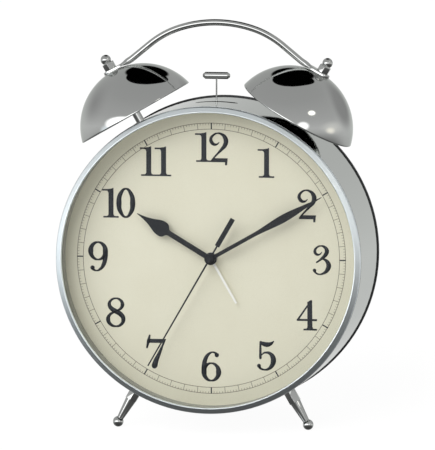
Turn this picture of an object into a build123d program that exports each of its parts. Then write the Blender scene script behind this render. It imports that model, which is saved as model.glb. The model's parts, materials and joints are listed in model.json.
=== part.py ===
"""Twin-bell alarm clock, every piece a solid of its own, in millimetres.

The pieces are drawn in the clock's own frame: X to the right, Y from the front of the bezel towards the
back, Z up, with the hands turning about Y. Last, the clock is leaned back onto its two feet and rear rim.
"""

import os
from math import asin, atan2, cos, degrees, hypot, radians, sin, sqrt

from build123d import *

# Fits
slip_fit = 0.05
push_fit = 0.02
loose_fit = 0.2

# Drum case and bezel
case_radius = 76.0
case_wall = 1.0
case_length = 54.2
bezel_step = 0.1
bezel_face = 3.1
bezel_slope = 1.8
bezel_lip = 2.0
bezel_rim = 3.2
bezel_outer_round = 1.0
bezel_inner_round = 0.5
bezel_skirt_wall = 1.2
bezel_skirt_depth = 6.0
bezel_seam = 0.3

# Glass, dial and carrier
lens_thick = 1.8
lens_air = 2.3
dial_thick = 0.5
carrier_thick = 2.0

# Bells, posts, nuts and handle
bell_angle = 30.0
bell_depth = 28.8
bell_radius = 31.2
bell_wall = 1.0
bell_gap = 4.65
bell_sink = 7.65
bell_flat_drop = 0.2
post_radius = 2.1
post_collar_radius = 3.5
post_collar_thick = 1.2
stud_radius = 1.5
stud_inside = 4.5
nut_across = 5.5
nut_thick = 2.4
hex_corner_front = 30.0
acorn_hex_height = 3.4
acorn_ball_radius = 2.57
acorn_ball_rise = 5.2
acorn_neck_radius = 1.9
acorn_thread = 3.0
tab_thick = 1.4
tab_width = 6.5
tab_back = 4.4
tab_front = 7.9
rod_radius = 1.6
rod_start = 10.0
rod_bend_radius = 15.0
arch_run = 11.2
arch_half_angle = 39.5
shoulder_radius = 45.0
crown_half_angle = 17.5

# Legs
leg_angle = 150.0
leg_depth = 18.1
leg_hex_across = 5.5
leg_hex_length = 6.1
leg_cone_radius = 2.65
leg_neck_radius = 1.6
leg_length = 18.8
leg_ball_radius = 2.63

# Back cover, its screws and pillars
cover_overhang = 0.55
cover_flange = 1.5
cover_plate = 2.0
cover_dish = 2.0
cover_wall = 2.4
cover_slope = 1.5
pillar_radius = 3.0
pillar_inset = 8.0
pillar_angles = (75.0, 135.0, 225.0, 285.0)
tab_angles = (0.0, 120.0, 240.0)
screw_inset = 8.5
screw_radius = 1.45
screw_head_radius = 2.75
screw_head_height = 1.8
screw_length = 8.0
screw_slot_width = 0.7
screw_slot_depth = 0.9
cover_tab_width = 11.0
cover_tab_depth = 9.0
cover_tab_reach = 13.0

# Movement box
box_half = 28.0
box_depth = 17.0
box_wall = 1.5
boss_radius = 3.0
bridge_thick = 1.0
box_screw_radius = 1.0
box_screw_head_radius = 1.9
box_screw_head_height = 1.2
box_screw_bite = 1.4

# Hand arbors, from the centre outwards
second_radius = 0.65
tube_wall = 0.45
bush_wall = 0.6
pivot_radius = 0.6
arbor_radius = 1.5
arbor_pivot_radius = 1.0
pivot_depth = 1.0

# Wheels: straight-flanked teeth, as shares of the module and of one tooth step
wheel_thick = 1.2
wheel_layer = 1.8
wheel_end_play = 0.5
tooth_addendum = 0.75
tooth_dedendum = 1.1
tooth_root_half = 0.28
tooth_tip_half = 0.11
wheel_module = 0.5
cannon_teeth = 12
minute_wheel_teeth = 36
minute_pinion_teeth = 10
hour_wheel_teeth = 40
alarm_wheel_teeth = 36
alarm_pinion_teeth = 18
second_module = 0.3
second_wheel_teeth = 50
rotor_teeth = 10

# Stepping motor and board
rotor_radius = 3.0
rotor_length = 3.0
stator_gap = 0.4
stator_thick = 1.2
stator_half_width = 14.0
stator_limb = 4.5
stator_window = 3.6
stator_stud_radius = 1.2
stator_stud_inset = 2.0
motor_core = 2.4
motor_coil_radius = 2.7
motor_coil_half = 8.5
board_gap = 0.5
board_height = 12.0
board_thick = 1.2
board_foot_gap = 3.5

# Hands: angles clockwise from twelve
hand_thick = 0.4
hand_pitch = 1.6
hand_lift = 1.2
hand_boss = 0.9
hour_angle = 301.0
hour_length = 42.6
hour_stem_half = 1.3
hour_bulb_half = 3.85
hour_bulb_at = 28.2
hour_bulb_back = 23.8
hour_hub_radius = 3.05
minute_angle = 60.5
minute_length = 63.8
minute_stem_half = 0.95
minute_leaf_half = 1.95
minute_leaf_at = 41.3
minute_leaf_back = 24.0
minute_neck_at = 59.8
minute_neck_half = 0.45
minute_neck_slope = 0.083
minute_hub_radius = 2.5
second_angle = 210.0
second_length = 61.3
second_half = 0.42
second_tip_half = 0.32
second_tail = 23.4
second_bar_from = 7.6
second_bar_half = 1.2
second_hub_radius = 1.75
alarm_angle = 150.0
alarm_length = 25.3
alarm_half = 0.6
alarm_tip_half = 0.5
alarm_hub_radius = 2.95
hand_tip_half = 0.15

# Setting knobs and alarm switch
knob_radius = 6.5
knob_height = 7.0
knob_gap = 0.5
knob_flutes = 14
knob_flute_radius = 0.9
knob_bore_depth = 5.5
switch_height = 32.0
switch_travel = 5.0
switch_stem_width = 5.0
switch_stem_height = 3.0
switch_cap_width = 8.0
switch_cap_height = 5.0
switch_cap_thick = 2.4
switch_cap_chamfer = 0.8
switch_flange_width = 7.0
switch_flange_height = 4.4
switch_flange_thick = 1.2
switch_wall = 1.5
switch_cavity = 2.0

# Battery bay, cells and door
cell_radius = 7.1
cell_body = 49.2
cell_nub = 1.3
cell_nub_radius = 2.7
cell_gap = 1.0
contact_thick = 0.4
contact_half = 5.0
spring_length = 2.6
spring_base_radius = 4.0
spring_tip_radius = 2.5
bay_case_gap = 7.1
bay_wall = 1.6
bay_ledge = 1.0
bay_headroom = 2.2
door_thick = 1.5
door_pull_radius = 6.0
door_pull_depth = 0.8

# Hammer and its electromagnet
hammer_rise = 12.9
hammer_length = 13.5
hammer_radius = 1.75
hammer_tip_radius = 0.8
hammer_tip_length = 1.2
hammer_rod_radius = 0.4
hammer_rod_sink = 4.0
slot_length = 21.1
slot_width = 4.0
rocker_half = 2.4
rocker_thick = 3.2
rocker_above = 8.0
rocker_below = 9.5
rocker_hub_radius = 3.0
pin_radius = 1.0
armature_thick = 1.0
bracket_half = 18.0
bracket_base = 2.0
bracket_gap = 3.0
bracket_pivot_rise = 14.0
bracket_height = 23.0
bracket_wall = 2.0
bracket_bridge_half = 4.5
peg_radius = 1.4
peg_head_radius = 2.2
peg_head = 1.0
peg_inset = 5.2
core_radius = 1.5
core_gap = 2.4
core_head_radius = 2.4
core_head_thick = 1.0
bobbin_flange_radius = 4.6
bobbin_flange_thick = 0.8
bobbin_tube_wall = 0.5
winding_radius = 4.2

# Radii and reaches that follow from the case
case_inner = case_radius - case_wall
bezel_radius = case_radius - bezel_step
bezel_opening = bezel_radius - bezel_face
cover_radius = case_radius + cover_overhang
pillar_reach = case_inner - pillar_inset
screw_reach = case_inner - screw_inset
cover_tab_foot = case_inner - cover_tab_reach
bell_rim = case_radius + bell_gap
bell_centre = bell_rim - bell_sink
bell_flat = bell_centre + bell_radius - bell_flat_drop
leg_ball_reach = case_radius + leg_length
hammer_height = case_radius + hammer_rise
nut_top = sqrt(case_inner**2 - (nut_across / sqrt(3)) ** 2) - push_fit

# Depths that follow, measured from the front of the bezel
case_front = bezel_rim + bezel_seam
case_rear = case_front + case_length
skirt_outer = case_inner - slip_fit
skirt_inner = skirt_outer - bezel_skirt_wall
seat_radius = skirt_inner - slip_fit
lens_rear = bezel_lip + lens_thick
second_hand_rear = lens_rear + lens_air + hand_thick
minute_hand_rear = second_hand_rear + hand_pitch
hour_hand_rear = minute_hand_rear + hand_pitch
alarm_hand_rear = hour_hand_rear + hand_pitch
dial_depth = alarm_hand_rear + hand_lift
carrier_front = dial_depth + dial_thick
box_front = carrier_front + carrier_thick
box_rear = box_front + box_depth
cover_inner = case_rear - cover_dish - cover_plate
plate_rear = case_rear - cover_dish
rear_plane = case_rear + cover_flange

# Wheel layers
alarm_layer = box_front + box_wall + wheel_end_play
hour_layer = alarm_layer + wheel_layer
minute_layer = hour_layer + wheel_layer
bridge_front = minute_layer + wheel_layer
bridge_rear = bridge_front + bridge_thick
second_layer = bridge_rear + wheel_end_play
cover_front = box_rear - box_wall

# Arbor radii and wheel centres
minute_bore = second_radius + slip_fit
minute_tube = minute_bore + tube_wall
hour_bore = minute_tube + slip_fit
hour_tube = hour_bore + tube_wall
alarm_bore = hour_tube + slip_fit
alarm_tube = alarm_bore + tube_wall
bush_bore = alarm_tube + slip_fit
bush_radius = bush_bore + bush_wall
setting_centre = wheel_module * (cannon_teeth + minute_wheel_teeth) / 2
hour_module = 2 * setting_centre / (hour_wheel_teeth + minute_pinion_teeth)
alarm_centre = wheel_module * (alarm_wheel_teeth + alarm_pinion_teeth) / 2
rotor_centre = second_module * (second_wheel_teeth + rotor_teeth) / 2
setting_spot = (setting_centre, 0)
alarm_spot = (-alarm_centre, 0)
rotor_spot = (0, rotor_centre)

# Places inside the case
boss_reach = box_half - box_wall - boss_radius
bracket_low = box_half + bracket_gap
bracket_high = bracket_low + bracket_height
pivot_height = bracket_low + bracket_pivot_rise
pivot_spot = (0, pivot_height)


def at_depth(depth):
    """Plane facing the viewer: x to the right, y up, and its normal towards the front."""
    return Plane.XZ.offset(-depth)


def spoke(angle, depth):
    """The same plane turned: its y runs outwards at an angle, clockwise from twelve, and x across it."""
    turn = radians(angle)
    return Plane(origin=(0, depth, 0), x_dir=(cos(turn), 0, -sin(turn)), z_dir=(0, -1, 0))


def spoke_axis(angle, depth):
    """That line itself."""
    turn = radians(angle)
    return Axis((0, depth, 0), (sin(turn), 0, cos(turn)))


def standing(angle, reach, depth):
    """Plane square to that line at a distance out, with its normal outwards."""
    turn = radians(angle)
    origin = (reach * sin(turn), depth, reach * cos(turn))
    return Plane(origin=origin, x_dir=(cos(turn), 0, -sin(turn)), z_dir=(sin(turn), 0, cos(turn)))


def dial_point(reach, angle):
    """Point at a distance from the clock's axis, at an angle clockwise from twelve."""
    turn = radians(angle)
    return (reach * sin(turn), reach * cos(turn))


def wheel_outline(teeth, module, first_angle):
    """Corners of a toothed wheel with one tooth centred on first_angle, counted from +X."""
    pitch_radius = module * teeth / 2
    tip = pitch_radius + tooth_addendum * module
    root = pitch_radius - tooth_dedendum * module
    step = 360 / teeth
    corners = []
    for tooth in range(teeth):
        middle = first_angle + tooth * step
        rising = [(root, -tooth_root_half), (tip, -tooth_tip_half)]
        falling = [(tip, tooth_tip_half), (root, tooth_root_half)]
        for radius, share in rising + falling:
            turn = radians(middle + share * step)
            corners.append((radius * cos(turn), radius * sin(turn)))
    return corners


def add_wheel(layer, spot, teeth, module, first_angle):
    """Adds a toothed disc to the piece being built, its front face at a layer."""
    outline = wheel_outline(teeth, module, first_angle)
    with BuildSketch(at_depth(layer)) as face:
        with BuildLine():
            Polyline(*[(spot[0] + x, spot[1] + z) for x, z in outline], close=True)
        make_face()
    extrude(face.sketch, amount=-wheel_thick)


def add_round(front, rear, radius, spot=(0, 0), mode=Mode.ADD):
    """Adds or cuts a round bar along the clock's axis, from one depth to another."""
    with BuildSketch(at_depth(front)) as face:
        with Locations(spot):
            Circle(radius)
    extrude(face.sketch, amount=front - rear, mode=mode)


def add_block(front, rear, low, high, mode=Mode.ADD):
    """Adds or cuts a block between two corners seen from the front, from one depth to another."""
    with BuildSketch(at_depth(front)) as face:
        with Locations(((low[0] + high[0]) / 2, (low[1] + high[1]) / 2)):
            Rectangle(high[0] - low[0], high[1] - low[1])
    extrude(face.sketch, amount=front - rear, mode=mode)


def square(half):
    """Corners of a square about the clock's axis."""
    return (-half, -half), (half, half)


def ring(outer, inner, front, rear):
    """A plain ring about the clock's axis."""
    with BuildPart() as piece:
        add_round(front, rear, outer)
        add_round(front, rear, inner, mode=Mode.SUBTRACT)
    return piece


# Drum case: a rolled tube with holes for four studs and a slot for the hammer's rod
bell_places = ((-bell_angle, bell_depth), (bell_angle, bell_depth))
leg_places = ((-leg_angle, leg_depth), (leg_angle, leg_depth))
with BuildPart() as case:
    with BuildSketch(Plane.XY):
        with Locations((case_inner, case_front)):
            Rectangle(case_wall, case_length, align=(Align.MIN, Align.MIN))
    revolve(axis=Axis.Y)
    for angle, depth in bell_places + leg_places:
        with Locations(standing(angle, case_radius, depth)):
            Cylinder(stud_radius + slip_fit, 2 * stud_inside, mode=Mode.SUBTRACT)
    with BuildSketch(Plane.XY):
        with Locations((0, bell_depth)):
            SlotOverall(slot_length, slot_width)
    extrude(amount=2 * case_radius, mode=Mode.SUBTRACT)

# Bezel: a ring with a sloping face and rounded edges, and a skirt that pushes into the case
with BuildPart() as bezel:
    with BuildSketch(Plane.XY):
        with BuildLine():
            Polyline(
                (bezel_opening, 0),
                (bezel_radius, bezel_slope),
                (bezel_radius, bezel_rim),
                (skirt_outer, bezel_rim),
                (skirt_outer, bezel_rim + bezel_skirt_depth),
                (skirt_inner, bezel_rim + bezel_skirt_depth),
                (skirt_inner, bezel_lip),
                (bezel_opening, bezel_lip),
                close=True,
            )
        make_face()
    revolve(axis=Axis.Y)
    outer_edges = bezel.edges().filter_by(GeomType.CIRCLE).group_by(SortBy.RADIUS)[-1]
    fillet(outer_edges.sort_by(Axis.Y)[0], bezel_outer_round)
    inner_edges = bezel.edges().filter_by(GeomType.CIRCLE).group_by(SortBy.RADIUS)[0]
    fillet(inner_edges.sort_by(Axis.Y)[0], bezel_inner_round)

# Glass, the wall ring behind it, the dial and the carrier that the dial lies on
with BuildPart() as lens:
    add_round(bezel_lip, lens_rear, seat_radius)

dial_ring = ring(seat_radius, bezel_opening, lens_rear, dial_depth)
dial = ring(seat_radius, bush_radius + loose_fit, dial_depth, carrier_front)

peg_spots = [
    (x, z)
    for x in (-bracket_half + peg_inset, bracket_half - peg_inset)
    for z in (bracket_low + peg_inset, bracket_high - peg_inset)
]
boss_spots = [(x, z) for x in (-boss_reach, boss_reach) for z in (-boss_reach, boss_reach)]
with BuildPart() as dial_carrier:
    add_round(carrier_front, box_front, nut_top - nut_thick - loose_fit)
    add_round(carrier_front, box_front, bush_radius + slip_fit, mode=Mode.SUBTRACT)
    for spot in boss_spots:
        add_round(box_front - box_screw_bite, box_front, box_screw_radius + push_fit, spot, Mode.SUBTRACT)
    for spot in peg_spots:
        add_round(box_front, box_front + bracket_base, peg_radius, spot)
        add_round(box_front + bracket_base, box_front + bracket_base + peg_head, peg_head_radius, spot)

# Movement box: a tray with the centre bush, a bridge between the wheels and a rear cover
box_inner = box_half - box_wall
with BuildPart() as movement_case:
    add_block(box_front, cover_front, *square(box_half))
    add_block(box_front + box_wall, cover_front, *square(box_inner), Mode.SUBTRACT)
    for spot in boss_spots:
        add_round(box_front + box_wall, bridge_front, boss_radius, spot)
        add_round(box_front, bridge_front, box_screw_radius + slip_fit, spot, Mode.SUBTRACT)
    add_round(dial_depth, box_front, bush_radius)
    add_round(dial_depth, box_front + box_wall, bush_bore, mode=Mode.SUBTRACT)
    for spot in (setting_spot, alarm_spot):
        pivot_hole = (box_front + box_wall - pivot_depth, box_front + box_wall)
        add_round(*pivot_hole, arbor_pivot_radius + slip_fit, spot, Mode.SUBTRACT)

bridge_half = box_inner - loose_fit
with BuildPart() as movement_bridge:
    add_block(bridge_front, bridge_rear, *square(bridge_half))
    for spot in boss_spots:
        add_round(bridge_front, bridge_rear, box_screw_radius + slip_fit, spot, Mode.SUBTRACT)
    for spot in (setting_spot, alarm_spot):
        add_round(bridge_front, bridge_rear, arbor_radius + slip_fit, spot, Mode.SUBTRACT)
    add_round(bridge_front, bridge_rear, minute_tube + slip_fit, mode=Mode.SUBTRACT)
    add_round(bridge_front, bridge_rear, pivot_radius + slip_fit, rotor_spot, Mode.SUBTRACT)

stator_front = second_layer + wheel_thick + 2 * wheel_end_play + (rotor_length - stator_thick) / 2
stator_rear = stator_front + stator_thick
stator_low = rotor_centre - stator_limb
stator_high = rotor_centre + stator_limb + stator_window + motor_core
stator_stud_reach = stator_half_width - stator_stud_inset
stator_studs = [(x, rotor_centre) for x in (-stator_stud_reach, stator_stud_reach)]
with BuildPart() as movement_cover:
    add_block(cover_front, box_rear, *square(box_half))
    for spot in boss_spots:
        add_round(bridge_rear, cover_front, boss_radius, spot)
        add_round(bridge_rear, box_rear, box_screw_radius + slip_fit, spot, Mode.SUBTRACT)
    for spot in stator_studs:
        add_round(stator_rear, cover_front, stator_stud_radius, spot)
    for spot in (setting_spot, alarm_spot):
        add_round(cover_front, box_rear, arbor_radius + slip_fit, spot, Mode.SUBTRACT)
    for spot in ((0, 0), rotor_spot):
        add_round(cover_front, cover_front + pivot_depth, pivot_radius + slip_fit, spot, Mode.SUBTRACT)

with BuildPart() as movement_screws:
    for spot in boss_spots:
        add_round(box_front - box_screw_bite, box_rear, box_screw_radius, spot)
        add_round(box_rear, box_rear + box_screw_head_height, box_screw_head_radius, spot)

# Motion work: cannon pinion, setting wheel and pinion, hour wheel, alarm wheel
with BuildPart() as minute_pipe:
    add_wheel(minute_layer, (0, 0), cannon_teeth, wheel_module, 0)
    add_round(minute_hand_rear - hand_thick, bridge_rear - push_fit, minute_tube)
    add_round(minute_hand_rear - hand_thick, bridge_rear - push_fit, minute_bore, mode=Mode.SUBTRACT)

with BuildPart() as hour_wheel:
    add_wheel(hour_layer, (0, 0), hour_wheel_teeth, hour_module, 0)
    add_round(hour_hand_rear - hand_thick, hour_layer + wheel_thick, hour_tube)
    add_round(hour_hand_rear - hand_thick, hour_layer + wheel_thick, hour_bore, mode=Mode.SUBTRACT)

with BuildPart() as alarm_wheel:
    add_wheel(alarm_layer, (0, 0), alarm_wheel_teeth, wheel_module, 180)
    add_round(alarm_hand_rear - hand_thick, alarm_layer + wheel_thick, alarm_tube)
    add_round(alarm_hand_rear - hand_thick, alarm_layer + wheel_thick, alarm_bore, mode=Mode.SUBTRACT)

arbor_front = box_front + box_wall - pivot_depth + push_fit
arbor_rear = plate_rear + knob_gap + knob_bore_depth - push_fit
with BuildPart() as setting_wheel:
    add_wheel(minute_layer, setting_spot, minute_wheel_teeth, wheel_module, 180 + 180 / minute_wheel_teeth)
    add_wheel(hour_layer, setting_spot, minute_pinion_teeth, hour_module, 180 + 180 / minute_pinion_teeth)
    add_round(arbor_front, alarm_layer, arbor_pivot_radius, setting_spot)
    add_round(alarm_layer, arbor_rear, arbor_radius, setting_spot)

with BuildPart() as alarm_pinion:
    add_wheel(alarm_layer, alarm_spot, alarm_pinion_teeth, wheel_module, 180 / alarm_pinion_teeth)
    add_round(arbor_front, alarm_layer, arbor_pivot_radius, alarm_spot)
    add_round(alarm_layer, arbor_rear, arbor_radius, alarm_spot)

# Sweep train: the second wheel on its arbor and the motor's rotor
with BuildPart() as second_wheel:
    add_wheel(second_layer, (0, 0), second_wheel_teeth, second_module, 90)
    add_round(second_hand_rear - hand_thick, cover_front - wheel_end_play, second_radius)
    add_round(cover_front - wheel_end_play, cover_front + pivot_depth - push_fit, pivot_radius)

rotor_front = second_layer + wheel_thick + 2 * wheel_end_play
with BuildPart() as rotor:
    add_wheel(second_layer, rotor_spot, rotor_teeth, second_module, 270 + 180 / rotor_teeth)
    add_round(bridge_front + push_fit, cover_front + pivot_depth - push_fit, pivot_radius, rotor_spot)
    add_round(rotor_front, rotor_front + rotor_length, rotor_radius, rotor_spot)

stator_corner = stator_half_width - stator_limb
core_low = stator_high - motor_core
with BuildPart() as stator:
    add_block(stator_front, stator_rear, (-stator_half_width, stator_low), (stator_half_width, stator_high))
    window = ((-stator_corner, rotor_centre + stator_limb), (stator_corner, core_low))
    add_block(stator_front, stator_rear, *window, Mode.SUBTRACT)
    add_round(stator_front, stator_rear, rotor_radius + stator_gap, rotor_spot, Mode.SUBTRACT)

with BuildPart() as motor_coil:
    with BuildSketch(Plane.YZ.offset(-motor_coil_half)):
        with Locations(((stator_front + stator_rear) / 2, core_low + motor_core / 2)):
            Circle(motor_coil_radius)
            Rectangle(stator_thick + 2 * slip_fit, motor_core + 2 * slip_fit, mode=Mode.SUBTRACT)
    extrude(amount=2 * motor_coil_half)

with BuildPart() as circuit_board:
    board_half = boss_reach - boss_radius - board_gap
    board_low = (-board_half, board_foot_gap - box_inner)
    board_high = (board_half, board_low[1] + board_height)
    add_block(cover_front - board_thick, cover_front, board_low, board_high)


def hand(rear, angle, bore, hub, outline):
    """A pressed sheet hand: its outline, a round hub and a boss behind it on its tube."""
    with BuildPart() as piece:
        with BuildSketch(spoke(angle, rear)):
            with BuildLine():
                outline()
                mirror(about=Plane.YZ)
            make_face()
            Circle(hub)
        extrude(amount=hand_thick)
        add_round(rear, rear + hand_boss, hub)
        add_round(rear - hand_thick, rear + hand_boss, bore + push_fit, mode=Mode.SUBTRACT)
    return piece


def hour_outline():
    """Right half of the spade: stem, round bulb and hollow taper to the tip."""
    Line((0, 0), (hour_stem_half, 0))
    Line((hour_stem_half, 0), (hour_stem_half, hour_bulb_back))
    swell = (hour_bulb_at - hour_bulb_back) / 2
    Bezier(
        (hour_stem_half, hour_bulb_back),
        (hour_stem_half, hour_bulb_back + swell),
        (hour_bulb_half, hour_bulb_back + swell / 2),
        (hour_bulb_half, hour_bulb_at),
    )
    Bezier(
        (hour_bulb_half, hour_bulb_at),
        (hour_bulb_half, hour_bulb_at + 2 * swell),
        (hour_stem_half, hour_bulb_at + 2 * swell),
        (hand_tip_half, hour_length),
    )
    Line((hand_tip_half, hour_length), (0, hour_length))


def minute_outline():
    """Right half of the leaf: a slim stem that swells, draws in to a neck and ends in a point."""
    Line((0, 0), (minute_stem_half, 0))
    Line((minute_stem_half, 0), (minute_stem_half, minute_leaf_back))
    Spline(
        (minute_stem_half, minute_leaf_back),
        (minute_leaf_half, minute_leaf_at),
        (minute_neck_half, minute_neck_at),
        tangents=((0, 1), (-minute_neck_slope, 1)),
    )
    Line((minute_neck_half, minute_neck_at), (hand_tip_half, minute_length))
    Line((hand_tip_half, minute_length), (0, minute_length))


def second_outline():
    """Right half of the needle with its counterweight bar."""
    Polyline(
        (0, -second_tail),
        (second_bar_half, -second_tail),
        (second_bar_half, -second_bar_from),
        (second_half, -second_bar_from),
        (second_half, 0),
        (second_tip_half, second_length),
        (0, second_length),
    )


def alarm_outline():
    """Right half of the plain alarm pointer."""
    Polyline((0, 0), (alarm_half, 0), (alarm_tip_half, alarm_length), (0, alarm_length))


hour_hand = hand(hour_hand_rear, hour_angle, hour_tube, hour_hub_radius, hour_outline)
minute_hand = hand(minute_hand_rear, minute_angle, minute_tube, minute_hub_radius, minute_outline)
second_hand = hand(second_hand_rear, second_angle, second_radius, second_hub_radius, second_outline)
alarm_hand = hand(alarm_hand_rear, alarm_angle, alarm_tube, alarm_hub_radius, alarm_outline)

# Back cover: a black dish with its flange behind the case, four pillars, and the battery bay
bay_half_length = (cell_body + cell_nub + 2 * contact_thick + spring_length + 3 * slip_fit) / 2
cell_pitch = 2 * cell_radius + cell_gap
bay_half_height = cell_pitch / 2 + cell_radius + loose_fit
bay_foot = sqrt((case_inner - bay_case_gap) ** 2 - (bay_half_length + bay_wall) ** 2)
bay_centre = bay_half_height + bay_wall - bay_foot
bay_floor = plate_rear - door_thick - bay_headroom - 2 * cell_radius - slip_fit
bay_low = (-bay_half_length, bay_centre - bay_half_height)
bay_high = (bay_half_length, bay_centre + bay_half_height)


def grown(low, high, amount):
    """The two corners moved apart by an amount on each side."""
    return (low[0] - amount, low[1] - amount), (high[0] + amount, high[1] + amount)


switch_slot_half = (switch_stem_width + switch_travel) / 2 + loose_fit
slot_low = (-switch_slot_half, switch_height - switch_stem_height / 2 - loose_fit)
slot_high = (switch_slot_half, switch_height + switch_stem_height / 2 + loose_fit)
spigot_radius = case_inner - slip_fit
screw_spots = [dial_point(screw_reach, angle) for angle in tab_angles]
pillar_spots = [dial_point(pillar_reach, angle) for angle in pillar_angles]
door_high_edge = bay_high[1] + bay_ledge
with BuildPart() as back_cover:
    with BuildSketch(Plane.XY):
        with BuildLine():
            Polyline(
                (0, cover_inner),
                (spigot_radius, cover_inner),
                (spigot_radius, case_rear),
                (cover_radius, case_rear),
                (cover_radius, rear_plane),
                (spigot_radius - cover_wall, rear_plane),
                (spigot_radius - cover_wall - cover_slope, plate_rear),
                (0, plate_rear),
                close=True,
            )
        make_face()
    revolve(axis=Axis.Y)
    for spot in pillar_spots:
        add_round(box_front, cover_inner, pillar_radius, spot)
    add_block(bay_floor - bay_wall, cover_inner, *grown(bay_low, bay_high, bay_wall))
    add_block(bay_floor, plate_rear, bay_low, bay_high, Mode.SUBTRACT)
    door_seat = grown(bay_low, bay_high, bay_ledge + loose_fit)
    add_block(plate_rear - door_thick, plate_rear, *door_seat, Mode.SUBTRACT)
    add_round(plate_rear - door_pull_depth, plate_rear, door_pull_radius, (0, door_high_edge), Mode.SUBTRACT)
    for spot in screw_spots:
        add_round(cover_inner, plate_rear, screw_radius + slip_fit, spot, Mode.SUBTRACT)
    for spot in (setting_spot, alarm_spot):
        add_round(cover_inner, plate_rear, arbor_radius + slip_fit, spot, Mode.SUBTRACT)
    add_block(cover_inner, plate_rear, slot_low, slot_high, Mode.SUBTRACT)

with BuildPart() as battery_door:
    add_block(plate_rear - door_thick, plate_rear, *grown(bay_low, bay_high, bay_ledge))
    add_round(plate_rear - door_pull_depth, plate_rear, door_pull_radius, (0, door_high_edge), Mode.SUBTRACT)

# Tabs welded inside the case, and the screws that hold the cover to them
with BuildPart() as cover_tabs:
    for angle in tab_angles:
        with BuildSketch(spoke(angle, cover_inner - cover_tab_depth)):
            Circle(case_inner - push_fit)
            with Locations((0, cover_tab_foot)):
                Rectangle(cover_tab_width, case_radius, align=(Align.CENTER, Align.MIN), mode=Mode.INTERSECT)
        extrude(amount=-cover_tab_depth)
    for spot in screw_spots:
        screw_tip = plate_rear - screw_length
        add_round(screw_tip - slip_fit, cover_inner, screw_radius + push_fit, spot, Mode.SUBTRACT)

with BuildPart() as cover_screws:
    for spot in screw_spots:
        add_round(plate_rear - screw_length, plate_rear, screw_radius, spot)
        add_round(plate_rear, plate_rear + screw_head_height, screw_head_radius, spot)
        head_rear = plate_rear + screw_head_height
        cut_low = (spot[0] - 2 * screw_head_radius, spot[1] - screw_slot_width / 2)
        cut_high = (spot[0] + 2 * screw_head_radius, spot[1] + screw_slot_width / 2)
        add_block(head_rear - screw_slot_depth, head_rear, cut_low, cut_high, Mode.SUBTRACT)

# Two cells lying opposite ways, and their sprung contacts
cell_depth = bay_floor + slip_fit + cell_radius


def cell_height(way):
    """Height of a cell's centre line: the upper one points right, the lower one left."""
    return bay_centre + way * cell_pitch / 2


def cell(way):
    """A round cell with its contact nub at the end that points its way."""
    flat_end = -way * (bay_half_length - contact_thick - slip_fit - spring_length)
    with BuildPart() as piece:
        with BuildSketch(Plane.YZ.offset(flat_end)):
            with Locations((cell_depth, cell_height(way))):
                Circle(cell_radius)
        extrude(amount=way * cell_body)
        with BuildSketch(Plane.YZ.offset(flat_end + way * cell_body)):
            with Locations((cell_depth, cell_height(way))):
                Circle(cell_nub_radius)
        extrude(amount=way * cell_nub)
    return piece


upper_cell = cell(1)
lower_cell = cell(-1)
with BuildPart() as battery_contacts:
    for way in (1, -1):
        middle = (cell_depth, cell_height(way))
        for side in (1, -1):
            with BuildSketch(Plane.YZ.offset(side * (bay_half_length - contact_thick))):
                with Locations(middle):
                    Rectangle(2 * contact_half, 2 * contact_half)
            extrude(amount=side * (contact_thick - push_fit))
        with BuildSketch(Plane.YZ.offset(-way * (bay_half_length - contact_thick))):
            with Locations(middle):
                Circle(spring_base_radius)
        with BuildSketch(Plane.YZ.offset(-way * (bay_half_length - contact_thick - spring_length))):
            with Locations(middle):
                Circle(spring_tip_radius)
        loft()


def knob(spot):
    """A fluted setting knob pushed onto its arbor behind the cover."""
    front = plate_rear + knob_gap
    with BuildPart() as piece:
        with BuildSketch(at_depth(front)):
            with Locations(spot):
                Circle(knob_radius)
            turn_step = 360 / knob_flutes
            flutes = [dial_point(knob_radius, flute * turn_step) for flute in range(knob_flutes)]
            with Locations(*[(spot[0] + x, spot[1] + z) for x, z in flutes]):
                Circle(knob_flute_radius, mode=Mode.SUBTRACT)
        extrude(amount=-knob_height)
        add_round(front, front + knob_bore_depth, arbor_radius + push_fit, spot, Mode.SUBTRACT)
    return piece


time_knob = knob(setting_spot)
alarm_knob = knob(alarm_spot)

# Alarm switch: a thumb slider through the cover and the switch body inside
slider_rest = -switch_travel / 2
flange_rear = cover_inner - loose_fit
flange_front = flange_rear - switch_flange_thick
cavity_half = (switch_flange_width + switch_travel) / 2 + loose_fit
cavity_rise = switch_flange_height / 2 + loose_fit


def slider_corners(width, height):
    """Corners of a slider section, seen from the front, with the alarm off."""
    low = (slider_rest - width / 2, switch_height - height / 2)
    high = (slider_rest + width / 2, switch_height + height / 2)
    return low, high


with BuildPart() as alarm_switch:
    add_block(flange_front, flange_rear, *slider_corners(switch_flange_width, switch_flange_height))
    stem_rear = plate_rear + loose_fit
    add_block(flange_rear, stem_rear, *slider_corners(switch_stem_width, switch_stem_height))
    add_block(stem_rear, stem_rear + switch_cap_thick, *slider_corners(switch_cap_width, switch_cap_height))
    cap_edges = alarm_switch.faces().sort_by(Axis.Y)[-1].edges()
    chamfer(cap_edges, switch_cap_chamfer)

with BuildPart() as switch_body:
    body_low = (-cavity_half - switch_wall, switch_height - cavity_rise - switch_wall)
    body_high = (cavity_half + switch_wall, switch_height + cavity_rise + switch_wall)
    body_front = flange_front - switch_cavity - switch_wall
    add_block(body_front, cover_inner, body_low, body_high)
    cavity = ((-cavity_half, switch_height - cavity_rise), (cavity_half, switch_height + cavity_rise))
    add_block(flange_front - loose_fit, cover_inner, *cavity, Mode.SUBTRACT)


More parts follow.
